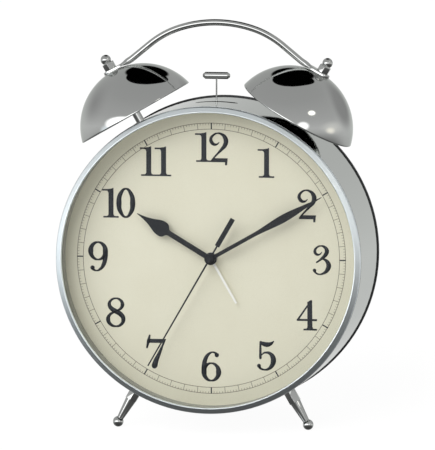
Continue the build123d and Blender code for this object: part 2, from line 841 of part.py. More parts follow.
def bell(angle):
    """A spherical gong with a small flat on top and a hole for its stud."""
    with BuildPart() as piece:
        with BuildSketch(spoke(angle, bell_depth)):
            with Locations((0, bell_centre)):
                Circle(bell_radius)
                Circle(bell_radius - bell_wall, mode=Mode.SUBTRACT)
            with Locations((stud_radius + slip_fit, bell_rim)):
                bell_height = bell_flat - bell_rim
                Rectangle(bell_radius, bell_height, align=(Align.MIN, Align.MIN), mode=Mode.INTERSECT)
        revolve(axis=spoke_axis(angle, bell_depth))
    return piece


collar_top = bell_centre + sqrt((bell_radius - bell_wall) ** 2 - post_collar_radius**2) - push_fit
tab_top = bell_flat + tab_thick
stud_top = tab_top + acorn_thread


def bell_post(angle):
    """The turned post that carries a bell: a stud into the case, a collar under the bell, a stud above."""
    with BuildPart() as piece:
        with BuildSketch(spoke(angle, bell_depth)):
            with BuildLine():
                Polyline(
                    (0, case_inner - stud_inside),
                    (stud_radius, case_inner - stud_inside),
                    (stud_radius, case_radius),
                    (post_radius, case_radius),
                    (post_radius, collar_top - post_collar_thick),
                    (post_collar_radius, collar_top - post_collar_thick),
                    (post_collar_radius, collar_top),
                    (stud_radius, collar_top),
                    (stud_radius, stud_top),
                    (0, stud_top),
                    close=True,
                )
            make_face()
        revolve(axis=spoke_axis(angle, bell_depth))
    return piece


def leg(angle):
    """A turned leg: hexagon at the case, tapering shank and ball foot, with a stud into the case."""
    taper_start = case_radius + leg_hex_length
    with BuildPart() as piece:
        with BuildSketch(standing(angle, case_radius, leg_depth)):
            RegularPolygon(leg_hex_across / 2, 6, major_radius=False, rotation=hex_corner_front)
        extrude(amount=leg_hex_length)
        with BuildSketch(spoke(angle, leg_depth)):
            with BuildLine():
                Polyline(
                    (0, taper_start),
                    (leg_cone_radius, taper_start),
                    (leg_neck_radius, leg_ball_reach - leg_ball_radius),
                    (leg_neck_radius, leg_ball_reach),
                    (0, leg_ball_reach),
                    close=True,
                )
            make_face()
        revolve(axis=spoke_axis(angle, leg_depth))
        with BuildSketch(standing(angle, case_inner - stud_inside, leg_depth)):
            Circle(stud_radius)
        extrude(amount=stud_inside + case_wall)
        with Locations(standing(angle, leg_ball_reach, leg_depth)):
            Sphere(leg_ball_radius)
    return piece


bell_left, bell_right = bell(-bell_angle), bell(bell_angle)
bell_post_left, bell_post_right = bell_post(-bell_angle), bell_post(bell_angle)
leg_left, leg_right = leg(-leg_angle), leg(leg_angle)

# Nuts inside the case on the four studs, and the acorn nuts over the bells
with BuildPart() as stud_nuts:
    for angle, depth in bell_places + leg_places:
        with BuildSketch(standing(angle, nut_top, depth)):
            RegularPolygon(nut_across / 2, 6, major_radius=False)
            Circle(stud_radius + push_fit, mode=Mode.SUBTRACT)
        extrude(amount=-nut_thick)

with BuildPart() as bell_nuts:
    for angle, depth in bell_places:
        with BuildSketch(standing(angle, tab_top, depth)):
            RegularPolygon(nut_across / 2, 6, major_radius=False, rotation=hex_corner_front)
        extrude(amount=acorn_hex_height)
        with BuildSketch(standing(angle, tab_top, depth)):
            Circle(acorn_neck_radius)
        extrude(amount=acorn_ball_rise)
        with Locations(standing(angle, tab_top + acorn_ball_rise, depth)):
            Sphere(acorn_ball_radius)
        with BuildSketch(standing(angle, tab_top, depth)):
            Circle(stud_radius + push_fit)
        extrude(amount=acorn_thread + slip_fit, mode=Mode.SUBTRACT)

# Handle: one bent round rod whose ends are hammered flat, holed and bolted under the acorn nuts
tab_middle = bell_flat + tab_thick / 2
slope = radians(bell_angle)
nut_point = dial_point(tab_middle, bell_angle)
rod_point = (nut_point[0] - rod_start * cos(slope), nut_point[1] + rod_start * sin(slope))
bend = arch_half_angle - bell_angle
steep = radians(arch_half_angle)
after_bend_x = rod_point[0] - rod_bend_radius * (sin(steep) - sin(slope))
shallow = radians(crown_half_angle)
after_run_x = after_bend_x - arch_run * cos(steep)
crown_radius = (after_run_x - shoulder_radius * (sin(steep) - sin(shallow))) / sin(shallow)
shoulder_turn = arch_half_angle - crown_half_angle
with BuildPart() as handle:
    with BuildLine(at_depth(bell_depth)) as arch:
        lower_right = JernArc(rod_point, (-cos(slope), sin(slope)), rod_bend_radius, -bend)
        right_run = PolarLine(lower_right @ 1, arch_run, direction=lower_right % 1)
        right_shoulder = JernArc(right_run @ 1, right_run % 1, shoulder_radius, shoulder_turn)
        crown = JernArc(right_shoulder @ 1, right_shoulder % 1, crown_radius, 2 * crown_half_angle)
        left_shoulder = JernArc(crown @ 1, crown % 1, shoulder_radius, shoulder_turn)
        left_run = PolarLine(left_shoulder @ 1, arch_run, direction=left_shoulder % 1)
        JernArc(left_run @ 1, left_run % 1, rod_bend_radius, -bend)
    with BuildSketch(Plane(arch.line @ 0, x_dir=(0, 1, 0), z_dir=arch.line % 0)):
        Circle(rod_radius)
    sweep()
    for angle in (bell_angle, -bell_angle):
        inward = -1 if angle > 0 else 1
        tab_plane = standing(angle, bell_flat, bell_depth)
        with BuildSketch(tab_plane):
            with Locations((inward * (tab_front - tab_back) / 2, 0)):
                SlotOverall(tab_front + tab_back, tab_width)
        extrude(amount=tab_thick)
        across = Plane(
            origin=standing(angle, tab_middle, bell_depth).origin,
            x_dir=(0, 1, 0),
            z_dir=tab_plane.x_dir * inward,
        )
        with BuildSketch(across.offset(tab_front - tab_width / 2)):
            Ellipse(tab_width / 2, tab_thick / 2)
        with BuildSketch(across.offset(rod_start)):
            Circle(rod_radius)
        loft()
        with BuildSketch(tab_plane):
            Circle(stud_radius + slip_fit)
        extrude(amount=tab_thick, mode=Mode.SUBTRACT)

# Hammer: a bar with pointed ends on a thin rod, carried by a rocker on a pin
rocker_front = bell_depth - rocker_thick / 2
rocker_rear = bell_depth + rocker_thick / 2
rocker_top = pivot_height + rocker_above
bracket_front = box_front + bracket_base
bracket_rear = 2 * bell_depth - bracket_front
head_half = hammer_length / 2
head_shoulder = head_half - hammer_tip_length
with BuildPart() as hammer_head:
    with BuildSketch(Plane(origin=(0, bell_depth, hammer_height), z_dir=(0, -1, 0), x_dir=(1, 0, 0))):
        with BuildLine():
            Polyline(
                (-head_half, 0),
                (-head_half, hammer_tip_radius),
                (-head_shoulder, hammer_radius),
                (head_shoulder, hammer_radius),
                (head_half, hammer_tip_radius),
                (head_half, 0),
                close=True,
            )
        make_face()
    revolve(axis=Axis((0, bell_depth, hammer_height), (1, 0, 0)))
    with BuildSketch(Plane.XY.offset(hammer_height - hammer_radius)):
        with Locations((0, bell_depth)):
            Circle(hammer_rod_radius + push_fit)
    extrude(amount=hammer_radius, mode=Mode.SUBTRACT)

with BuildPart() as hammer_rod:
    with BuildSketch(Plane.XY.offset(rocker_top - hammer_rod_sink)):
        with Locations((0, bell_depth)):
            Circle(hammer_rod_radius)
    extrude(amount=hammer_height - push_fit - rocker_top + hammer_rod_sink)

with BuildPart() as hammer_rocker:
    low = (-rocker_half, pivot_height - rocker_below)
    high = (rocker_half, rocker_top)
    add_block(rocker_front, rocker_rear, low, high)
    hub = (bracket_front + loose_fit, bracket_rear - loose_fit)
    add_round(*hub, rocker_hub_radius, pivot_spot)
    add_round(*hub, pin_radius + slip_fit, pivot_spot, Mode.SUBTRACT)
    with BuildSketch(Plane.XY.offset(rocker_top - hammer_rod_sink)):
        with Locations((0, bell_depth)):
            Circle(hammer_rod_radius + push_fit)
    extrude(amount=hammer_rod_sink, mode=Mode.SUBTRACT)

with BuildPart() as hammer_armature:
    low = (rocker_half, pivot_height - rocker_below)
    high = (rocker_half + armature_thick, pivot_height - rocker_below + 2 * core_radius)
    add_block(rocker_front, rocker_rear, low, high)

with BuildPart() as hammer_pin:
    add_round(box_front, bracket_rear + bracket_wall, pin_radius, pivot_spot)

bracket_inner = bracket_half - bracket_wall
core_height = pivot_height - rocker_below + core_radius
core_start = rocker_half + armature_thick + core_gap
with BuildPart() as hammer_bracket:
    add_block(box_front, bracket_front, (-bracket_half, bracket_low), (bracket_half, bracket_high))
    for side in (-1, 1):
        wall_low = (min(side * bracket_inner, side * bracket_half), bracket_low)
        wall_high = (max(side * bracket_inner, side * bracket_half), bracket_high)
        add_block(bracket_front, bracket_rear + bracket_wall, wall_low, wall_high)
    bridge_low = (-bracket_inner, pivot_height - bracket_bridge_half)
    bridge_high = (bracket_inner, pivot_height + bracket_bridge_half)
    add_block(bracket_rear, bracket_rear + bracket_wall, bridge_low, bridge_high)
    add_round(box_front, bracket_rear + bracket_wall, pin_radius + push_fit, pivot_spot, Mode.SUBTRACT)
    for spot in peg_spots:
        add_round(box_front, bracket_front, peg_radius + push_fit, spot, Mode.SUBTRACT)
    with BuildSketch(Plane.YZ.offset(bracket_inner)):
        with Locations((bell_depth, core_height)):
            Circle(core_radius + push_fit)
    extrude(amount=bracket_wall, mode=Mode.SUBTRACT)


def coil_turning(profile):
    """A piece turned about the electromagnet's axis, from points of distance along it and radius."""
    with BuildPart() as piece:
        with BuildSketch(Plane(origin=(0, bell_depth, core_height), z_dir=(0, -1, 0), x_dir=(1, 0, 0))):
            with BuildLine():
                Polyline(*profile, close=True)
            make_face()
        revolve(axis=Axis((0, bell_depth, core_height), (1, 0, 0)))
    return piece


bobbin_bore = core_radius + slip_fit
bobbin_tube = bobbin_bore + bobbin_tube_wall
bobbin_start = core_start + core_head_thick
bobbin_end = bracket_inner - push_fit
coil_core = coil_turning(
    (
        (core_start, 0),
        (core_start, core_head_radius),
        (bobbin_start - push_fit, core_head_radius),
        (bobbin_start - push_fit, core_radius),
        (bracket_half, core_radius),
        (bracket_half, 0),
    )
)
coil_bobbin = coil_turning(
    (
        (bobbin_start, bobbin_bore),
        (bobbin_start, bobbin_flange_radius),
        (bobbin_start + bobbin_flange_thick, bobbin_flange_radius),
        (bobbin_start + bobbin_flange_thick, bobbin_tube),
        (bobbin_end - bobbin_flange_thick, bobbin_tube),
        (bobbin_end - bobbin_flange_thick, bobbin_flange_radius),
        (bobbin_end, bobbin_flange_radius),
        (bobbin_end, bobbin_bore),
    )
)
coil_winding = coil_turning(
    (
        (bobbin_start + bobbin_flange_thick + push_fit, bobbin_tube + push_fit),
        (bobbin_start + bobbin_flange_thick + push_fit, winding_radius),
        (bobbin_end - bobbin_flange_thick - push_fit, winding_radius),
        (bobbin_end - bobbin_flange_thick - push_fit, bobbin_tube + push_fit),
    )
)

pieces = {
    "case": case,
    "bezel": bezel,
    "lens": lens,
    "dial_ring": dial_ring,
    "dial": dial,
    "dial_carrier": dial_carrier,
    "movement_case": movement_case,
    "movement_bridge": movement_bridge,
    "movement_cover": movement_cover,
    "movement_screws": movement_screws,
    "minute_pipe": minute_pipe,
    "hour_wheel": hour_wheel,
    "alarm_wheel": alarm_wheel,
    "setting_wheel": setting_wheel,
    "alarm_pinion": alarm_pinion,
    "second_wheel": second_wheel,
    "rotor": rotor,
    "stator": stator,
    "motor_coil": motor_coil,
    "circuit_board": circuit_board,
    "hour_hand": hour_hand,
    "minute_hand": minute_hand,
    "second_hand": second_hand,
    "alarm_hand": alarm_hand,
    "back_cover": back_cover,
    "cover_tabs": cover_tabs,
    "cover_screws": cover_screws,
    "battery_door": battery_door,
    "upper_cell": upper_cell,
    "lower_cell": lower_cell,
    "battery_contacts": battery_contacts,
    "time_knob": time_knob,
    "alarm_knob": alarm_knob,
    "alarm_switch": alarm_switch,
    "switch_body": switch_body,
    "bell_left": bell_left,
    "bell_right": bell_right,
    "bell_post_left": bell_post_left,
    "bell_post_right": bell_post_right,
    "bell_nuts": bell_nuts,
    "stud_nuts": stud_nuts,
    "handle": handle,
    "leg_left": leg_left,
    "leg_right": leg_right,
    "hammer_head": hammer_head,
    "hammer_rod": hammer_rod,
    "hammer_rocker": hammer_rocker,
    "hammer_armature": hammer_armature,
    "hammer_pin": hammer_pin,
    "hammer_bracket": hammer_bracket,
    "coil_core": coil_core,
    "coil_bobbin": coil_bobbin,
    "coil_winding": coil_winding,
}

# The lean: the line that touches both ball feet and the lowest point of the rear rim
run = rear_plane - leg_depth
drop = -leg_ball_reach * cos(radians(leg_angle)) - cover_radius
lean = degrees(atan2(drop, run) + asin(leg_ball_radius / hypot(run, drop)))
leaning = Rot(X=-lean)
leaned = Compound(children=[leaning * piece.part for piece in pieces.values()])
box = leaned.bounding_box()
stand = Pos(-box.center().X, -box.center().Y, -box.min.Z) * leaning

os.makedirs("parts", exist_ok=True)
for name, piece in pieces.items():
    piece.part.label = name
    piece.part.location = stand
    export_step(piece.part, f"parts/{name}.step")

print("lean", round(lean, 3), "degrees, clock axis starts at", tuple(stand.position))
print("pieces", len(pieces), "box", box.size)
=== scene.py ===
# %% [markdown]
# # A twin-bell alarm clock, dressed for the camera
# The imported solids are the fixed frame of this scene: they already stand where the
# real clock stands, leaning back on its two legs. Everything below either gives one
# of those solids a better finish, or puts a richer piece in its place.
# %% Load the frame
import json
import math

import bpy
from mathutils import Matrix, Vector


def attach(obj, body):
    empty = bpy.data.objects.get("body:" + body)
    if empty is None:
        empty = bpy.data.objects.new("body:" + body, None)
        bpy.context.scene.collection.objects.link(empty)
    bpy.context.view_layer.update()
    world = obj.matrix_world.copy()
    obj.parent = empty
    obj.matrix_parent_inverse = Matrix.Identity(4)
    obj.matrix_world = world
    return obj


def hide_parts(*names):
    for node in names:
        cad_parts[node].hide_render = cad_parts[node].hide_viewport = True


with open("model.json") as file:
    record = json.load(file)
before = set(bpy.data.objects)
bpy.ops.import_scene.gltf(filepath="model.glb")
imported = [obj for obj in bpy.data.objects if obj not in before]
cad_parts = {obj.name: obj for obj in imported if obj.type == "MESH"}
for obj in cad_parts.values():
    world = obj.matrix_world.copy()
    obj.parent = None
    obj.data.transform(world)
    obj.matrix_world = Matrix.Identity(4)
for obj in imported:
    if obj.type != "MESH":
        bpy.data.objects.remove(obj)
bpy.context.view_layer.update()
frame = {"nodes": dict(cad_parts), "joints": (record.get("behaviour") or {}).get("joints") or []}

nodes = frame["nodes"]
scene = bpy.context.scene

# %% [markdown]
# The clock leans back, so nothing on it is square to the world. A drawing is easier in
# the clock's own directions: x to the right, y from the front glass to the back cover,
# z from 6 to 12 o'clock. The joint of the minute hand gives the y axis, and the front
# edge of the case, 3.5 mm behind the front of the clock, gives where y starts.
# %% Find the clock's own directions
MM = 0.001
minute_joint = next(j for j in frame["joints"] if j["name"] == "minute_hand_turn")
rear = Vector(minute_joint["axis"]).normalized()
right = Vector((1, 0, 0))
up = right.cross(rear)
hub = Vector(minute_joint["pos_m"])
CASE_FRONT = 3.5 * MM
case_edge = min((v.co - hub).dot(rear) for v in nodes["case"].data.vertices)
origin = hub + rear * (case_edge - CASE_FRONT)
clock = Matrix((right, rear, up)).transposed().to_4x4()
clock.translation = origin
to_clock = clock.inverted()
lean = math.atan2(-rear.z, rear.y)


def reach(node):
    """Lowest and highest corner of a solid in the clock's own directions, in metres."""
    points = [to_clock @ v.co for v in nodes[node].data.vertices]
    low = Vector(min(p[i] for p in points) for i in range(3))
    high = Vector(max(p[i] for p in points) for i in range(3))
    return low, high


print("lean", round(math.degrees(lean), 3), "degrees, hub at", [round(c, 5) for c in origin])

# %% [markdown]
# Operators act on whatever is selected, and loading leaves every solid selected. These
# three helpers keep that in hand: one clears the selection, one picks vertices, edges
# or faces by a test on their place, and one carries a finished piece from the clock's
# directions into the world, where it rides on a body and stands for its solid.
# %% Helpers for modelling
def clear():
    if bpy.context.object and bpy.context.object.mode != "OBJECT":
        bpy.ops.object.mode_set(mode="OBJECT")
    bpy.ops.object.select_all(action="DESELECT")


def choose(piece, kind, test):
    """Opens the piece in edit mode with the elements selected that pass the test."""
    bpy.context.view_layer.objects.active = piece
    bpy.ops.object.mode_set(mode="EDIT")
    bpy.ops.mesh.select_mode(type=kind)
    bpy.ops.mesh.select_all(action="DESELECT")
    bpy.ops.object.mode_set(mode="OBJECT")
    mesh = piece.data
    if kind == "FACE":
        for face in mesh.polygons:
            face.select = test(face.center, face.normal)
    elif kind == "EDGE":
        for edge in mesh.edges:
            ends = [mesh.vertices[i].co for i in edge.vertices]
            edge.select = test(ends[0], ends[1])
    else:
        for vertex in mesh.vertices:
            vertex.select = test(vertex.co)
    bpy.ops.object.mode_set(mode="EDIT")


def settle(piece, body, slot, finish, *solids):
    """Puts a piece, drawn in the clock's directions, where the clock stands."""
    clear()
    piece.select_set(True)
    bpy.context.view_layer.objects.active = piece
    piece.matrix_world = clock @ piece.matrix_world
    bpy.ops.object.transform_apply(location=True, rotation=True, scale=True)
    piece.data.materials.clear()
    piece.data.materials.append(finish)
    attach(piece, body)
    if solids:
        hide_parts(*solids)
    print("made", piece.name, "with", len(piece.data.polygons), "faces on", body)
    return piece


# %% [markdown]
# Colours are written as sRGB hex, as a paint chart gives them, and one function turns
# them to the linear values that shaders want. One more function adds a node to a tree,
# sets it and links it, so each finish below reads as a short list of its nodes.
# %% Helpers for materials
def linear(hex_code):
    parts = [int(hex_code[i:i + 2], 16) / 255 for i in (1, 3, 5)]
    return tuple(c / 12.92 if c <= 0.04045 else ((c + 0.055) / 1.055) ** 2.4 for c in parts) + (1,)


def add_node(tree, kind, inputs=None, stops=None, **settings):
    node = tree.nodes.new(kind)
    for name, value in settings.items():
        setattr(node, name, value)
    for place, colour in stops or ():
        used = node.color_ramp.elements
        stop = used[0] if place == 0 else used[-1] if place == 1 else used.new(place)
        stop.color = colour
    for name, value in (inputs or {}).items():
        if isinstance(value, bpy.types.NodeSocket):
            tree.links.new(value, node.inputs[name])
        else:
            node.inputs[name].default_value = value
    return node


def new_finish(name, **surface):
    """A material with one shader, its constant values set on the shader's own sockets."""
    finish = bpy.data.materials.new(name)
    finish.use_nodes = True
    tree = finish.node_tree
    shader = tree.nodes["Principled BSDF"]
    for socket, value in surface.items():
        shader.inputs[socket.replace("_", " ")].default_value = value
    place = add_node(tree, "ShaderNodeTexCoord").outputs["Object"]
    return finish, tree, shader, place


def per_mm(size):
    """The scale of a pattern on Object coordinates whose features are size mm wide."""
    return 1 / (size * MM)


print("white is", linear("#FFFFFF"))

# %% [markdown]
# The case, bells, handle, nuts and legs are pressed and turned steel with a bright
# nickel-chrome plate. A mirror with no fault looks drawn, so a faint smear from handling
# changes the roughness over about 15 mm, and the buffing leaves a very low waviness of
# about 4 mm. Chromium gives back a little over half of the light, with no tint to speak of,
# so it looks darker than the aluminium beside it.
# %% Bright chrome plate
chrome, tree, shader, place = new_finish(
    "bright_chrome_plate", Metallic=1.0, Base_Color=linear("#BFC0BF"), Specular_Tint=linear("#E6E8E6"))
smear = add_node(tree, "ShaderNodeTexNoise", {"Vector": place, "Scale": per_mm(15), "Detail": 5.0})
rough = add_node(tree, "ShaderNodeMapRange", {
    "Value": smear.outputs["Fac"], "From Min": 0.35, "From Max": 0.75, "To Min": 0.025, "To Max": 0.075})
wave = add_node(tree, "ShaderNodeTexNoise", {"Vector": place, "Scale": per_mm(4), "Detail": 1.0})
bump = add_node(tree, "ShaderNodeBump", {
    "Height": wave.outputs["Fac"], "Strength": 0.02, "Distance": 0.1 * MM})
tree.links.new(rough.outputs["Result"], shader.inputs["Roughness"])
tree.links.new(bump.outputs["Normal"], shader.inputs["Normal"])

print("finish", chrome.name)

# %% [markdown]
# The bezel is spun aluminium under a satin, slightly blue lacquer, which mirrors the studio
# softly and more brightly than chrome. Turning leaves fine rings about its axis. Real
# rings are about 0.1 mm apart, too fine to show here, so they are drawn 0.5 mm apart. A
# Mapping node puts the middle of the rings on the hub.
# %% Satin bezel
bezel_metal, tree, shader, place = new_finish(
    "satin_lacquered_aluminium", Metallic=1.0, Base_Color=linear("#F0F7FA"))
centred = add_node(tree, "ShaderNodeMapping", {
    "Vector": place, "Location": origin, "Rotation": (-lean, 0, 0)}, vector_type="TEXTURE")
rings = add_node(tree, "ShaderNodeTexWave", {
    "Vector": centred.outputs["Vector"], "Scale": per_mm(0.5) / 20 * math.pi, "Distortion": 0.6,
    "Detail": 2.0, "Detail Scale": 2.0}, wave_type="RINGS", rings_direction="Y")
rough = add_node(tree, "ShaderNodeMapRange", {
    "Value": rings.outputs["Fac"], "To Min": 0.33, "To Max": 0.39})
bump = add_node(tree, "ShaderNodeBump", {
    "Height": rings.outputs["Fac"], "Strength": 0.02, "Distance": 0.05 * MM})
tree.links.new(rough.outputs["Result"], shader.inputs["Roughness"])
tree.links.new(bump.outputs["Normal"], shader.inputs["Normal"])
print("finish", bezel_metal.name)

# %% [markdown]
# The dial is matt cream card. Its fibres are about 0.3 mm wide and shift the colour by a
# little; a slow yellowing over about 30 mm does the rest. The numerals are printed in
# dense slate and the minute track in pale grey, both with a slight mottle where they soaked in.
# %% Dial card and ink
card, tree, shader, place = new_finish("cream_dial_card", Roughness=0.62, IOR=1.46)
fibre = add_node(tree, "ShaderNodeTexNoise", {"Vector": place, "Scale": per_mm(0.6), "Detail": 4.0})
age = add_node(tree, "ShaderNodeTexNoise", {"Vector": place, "Scale": per_mm(30), "Detail": 2.0})
tone = add_node(tree, "ShaderNodeMath", {
    0: fibre.outputs["Fac"], 1: age.outputs["Fac"]}, operation="ADD")
shade = add_node(tree, "ShaderNodeMapRange", {
    "Value": tone.outputs["Value"], "From Min": 0.6, "From Max": 1.4})
colour = add_node(tree, "ShaderNodeMix", {
    "Factor": shade.outputs["Result"], "A": linear("#E2DFC9"), "B": linear("#E9E7D3")}, data_type="RGBA")
bump = add_node(tree, "ShaderNodeBump", {
    "Height": fibre.outputs["Fac"], "Strength": 0.15, "Distance": 0.05 * MM})
tree.links.new(colour.outputs["Result"], shader.inputs["Base Color"])
tree.links.new(bump.outputs["Normal"], shader.inputs["Normal"])


def printing_ink(name, dark, light):
    finish, tree, shader, place = new_finish(name, Roughness=0.5)
    soak = add_node(tree, "ShaderNodeTexNoise", {"Vector": place, "Scale": per_mm(0.8), "Detail": 3.0})
    colour = add_node(tree, "ShaderNodeMix", {
        "Factor": soak.outputs["Fac"], "A": linear(dark), "B": linear(light)}, data_type="RGBA")
    tree.links.new(colour.outputs["Result"], shader.inputs["Base Color"])
    return finish


ink = printing_ink("slate_printing_ink", "#1C1F24", "#2B2E34")
pale_ink = printing_ink("grey_printing_ink", "#75705F", "#8A8573")
print("finishes", card.name, ink.name, pale_ink.name)

# %% [markdown]
# The glass is a clean flat pane. Full refraction would stop the lamps from lighting the
# dial, so the pane is a clear skin: it is nearly all see-through, and what is left
# carries the gloss.
# %% Clear glass
glass, tree, shader, place = new_finish(
    "clear_float_glass", Base_Color=linear("#0C1010"), IOR=1.52, Alpha=0.05)
dust = add_node(tree, "ShaderNodeTexNoise", {"Vector": place, "Scale": per_mm(25), "Detail": 4.0})
rough = add_node(tree, "ShaderNodeMapRange", {
    "Value": dust.outputs["Fac"], "To Min": 0.0, "To Max": 0.06})
tree.links.new(rough.outputs["Result"], shader.inputs["Roughness"])
print("finish", glass.name)

# %% [markdown]
# Many of the other pieces share one kind of surface: a plain stock with a grain of a
# known size that breaks up the colour, the roughness and the height together. One
# function draws it, and a table gives each stock its name, colours, grain and gloss.
# %% Moulded, painted and plain metal stocks
def stock(name, dark, light, grain, gloss, height, metallic=0.0):
    finish, tree, shader, place = new_finish(name, Metallic=metallic)
    noise = add_node(tree, "ShaderNodeTexNoise", {"Vector": place, "Scale": per_mm(grain), "Detail": 4.0})
    colour = add_node(tree, "ShaderNodeMix", {
        "Factor": noise.outputs["Fac"], "A": linear(dark), "B": linear(light)}, data_type="RGBA")
    rough = add_node(tree, "ShaderNodeMapRange", {
        "Value": noise.outputs["Fac"], "To Min": gloss - 0.08, "To Max": gloss + 0.08})
    bump = add_node(tree, "ShaderNodeBump", {
        "Height": noise.outputs["Fac"], "Strength": 0.3, "Distance": height * MM})
    tree.links.new(colour.outputs["Result"], shader.inputs["Base Color"])
    tree.links.new(rough.outputs["Result"], shader.inputs["Roughness"])
    tree.links.new(bump.outputs["Normal"], shader.inputs["Normal"])
    return finish


grey_paint = stock("grey_matt_paint", "#8E8F88", "#A3A49C", 0.8, 0.55, 0.03)
black_enamel = stock("black_stoved_enamel", "#15171A", "#22252A", 0.9, 0.5, 0.02)
white_enamel = stock("white_stoved_enamel", "#F0F0EA", "#FBFBF7", 0.9, 0.38, 0.02)
black_abs = stock("black_moulded_abs", "#17181A", "#25272A", 0.5, 0.42, 0.06)
grey_abs = stock("grey_moulded_abs", "#5F6265", "#6F7275", 0.5, 0.45, 0.05)
white_pom = stock("white_moulded_acetal", "#DEDDD4", "#ECEBE3", 0.7, 0.4, 0.03)
plain_steel = stock("plain_steel_sheet", "#8D8F90", "#A8AAAB", 0.6, 0.32, 0.02, 1.0)
magnet_black = stock("sintered_ferrite", "#2A2A2C", "#3B3B3D", 0.3, 0.6, 0.03)
copper_wire = stock("enamelled_copper_wire", "#8E4A26", "#B8683A", 0.3, 0.3, 0.06, 1.0)
board_laminate = stock("green_board_laminate", "#1F4A2C", "#2C6A3E", 1.2, 0.4, 0.03)
finishes = {
    "chrome": chrome, "bezel_metal": bezel_metal, "glass": glass, "wall_ring": grey_paint,
    "dial_print": card, "hand_black": black_enamel, "hand_white": white_enamel,
    "black_plastic": black_abs, "grey_plastic": grey_abs, "white_plastic": white_pom,
    "steel": plain_steel, "magnet": magnet_black, "copper": copper_wire,
    "board_green": board_laminate, "cell_wrap": plain_steel}  # the film on the cells comes next
for node in nodes.values():
    for slot in node.material_slots:
        slot.material = finishes[slot.material.name.split(".")[0]]
print("finished", len(nodes), "solids with", len(finishes), "finishes")

# %% [markdown]
# The two cells lie head to tail in the bay. A cell is a steel can in a shrunk film, black with
# a copper-coloured band at the head, and the can shows at both ends. The place along the cell
# gives the colour: a ramp with hard stops runs along x, and the second cell's ramp is turned
# round. The film is thin and glossy, and the ends are bare metal.
# %% Shrink film on the cells
def cell_finish(name, low, high, head_at_high):
    finish, tree, shader, place = new_finish(name, Roughness=0.28)
    along = add_node(tree, "ShaderNodeSeparateXYZ", {0: place}).outputs["X"]
    first, last = (low, high) if head_at_high else (high, low)
    part = add_node(tree, "ShaderNodeMapRange", {"Value": along, "From Min": first, "From Max": last})
    starts = (0, 0.02, 0.7, 0.972, 1)
    steel, film, band = linear("#A8AAAB"), linear("#1B1C1E"), linear("#B8733C")
    bare, painted, foil = (1, 1, 1, 1), (0, 0, 0, 1), (0.8, 0.8, 0.8, 1)
    colour = add_node(tree, "ShaderNodeValToRGB", {"Fac": part.outputs["Result"]},
                      zip(starts, (steel, film, band, steel, steel)))
    metal = add_node(tree, "ShaderNodeValToRGB", {"Fac": part.outputs["Result"]},
                     zip(starts, (bare, painted, foil, bare, bare)))
    for ramp in (colour, metal):
        ramp.color_ramp.interpolation = "CONSTANT"
    fold = add_node(tree, "ShaderNodeTexNoise", {"Vector": place, "Scale": per_mm(2.5), "Detail": 3.0})
    bump = add_node(tree, "ShaderNodeBump", {
        "Height": fold.outputs["Fac"], "Strength": 0.1, "Distance": 0.1 * MM})
    tree.links.new(colour.outputs["Color"], shader.inputs["Base Color"])
    tree.links.new(metal.outputs["Color"], shader.inputs["Metallic"])
    tree.links.new(bump.outputs["Normal"], shader.inputs["Normal"])
    return finish


for name, head_at_high in (("upper_cell", True), ("lower_cell", False)):
    low, high = reach(name)
    nodes[name].material_slots[0].material = cell_finish("shrink_film_" + name, low.x, high.x, head_at_high)
    print("film on", name, "from", round(low.x / MM, 1), "to", round(high.x / MM, 1), "mm")

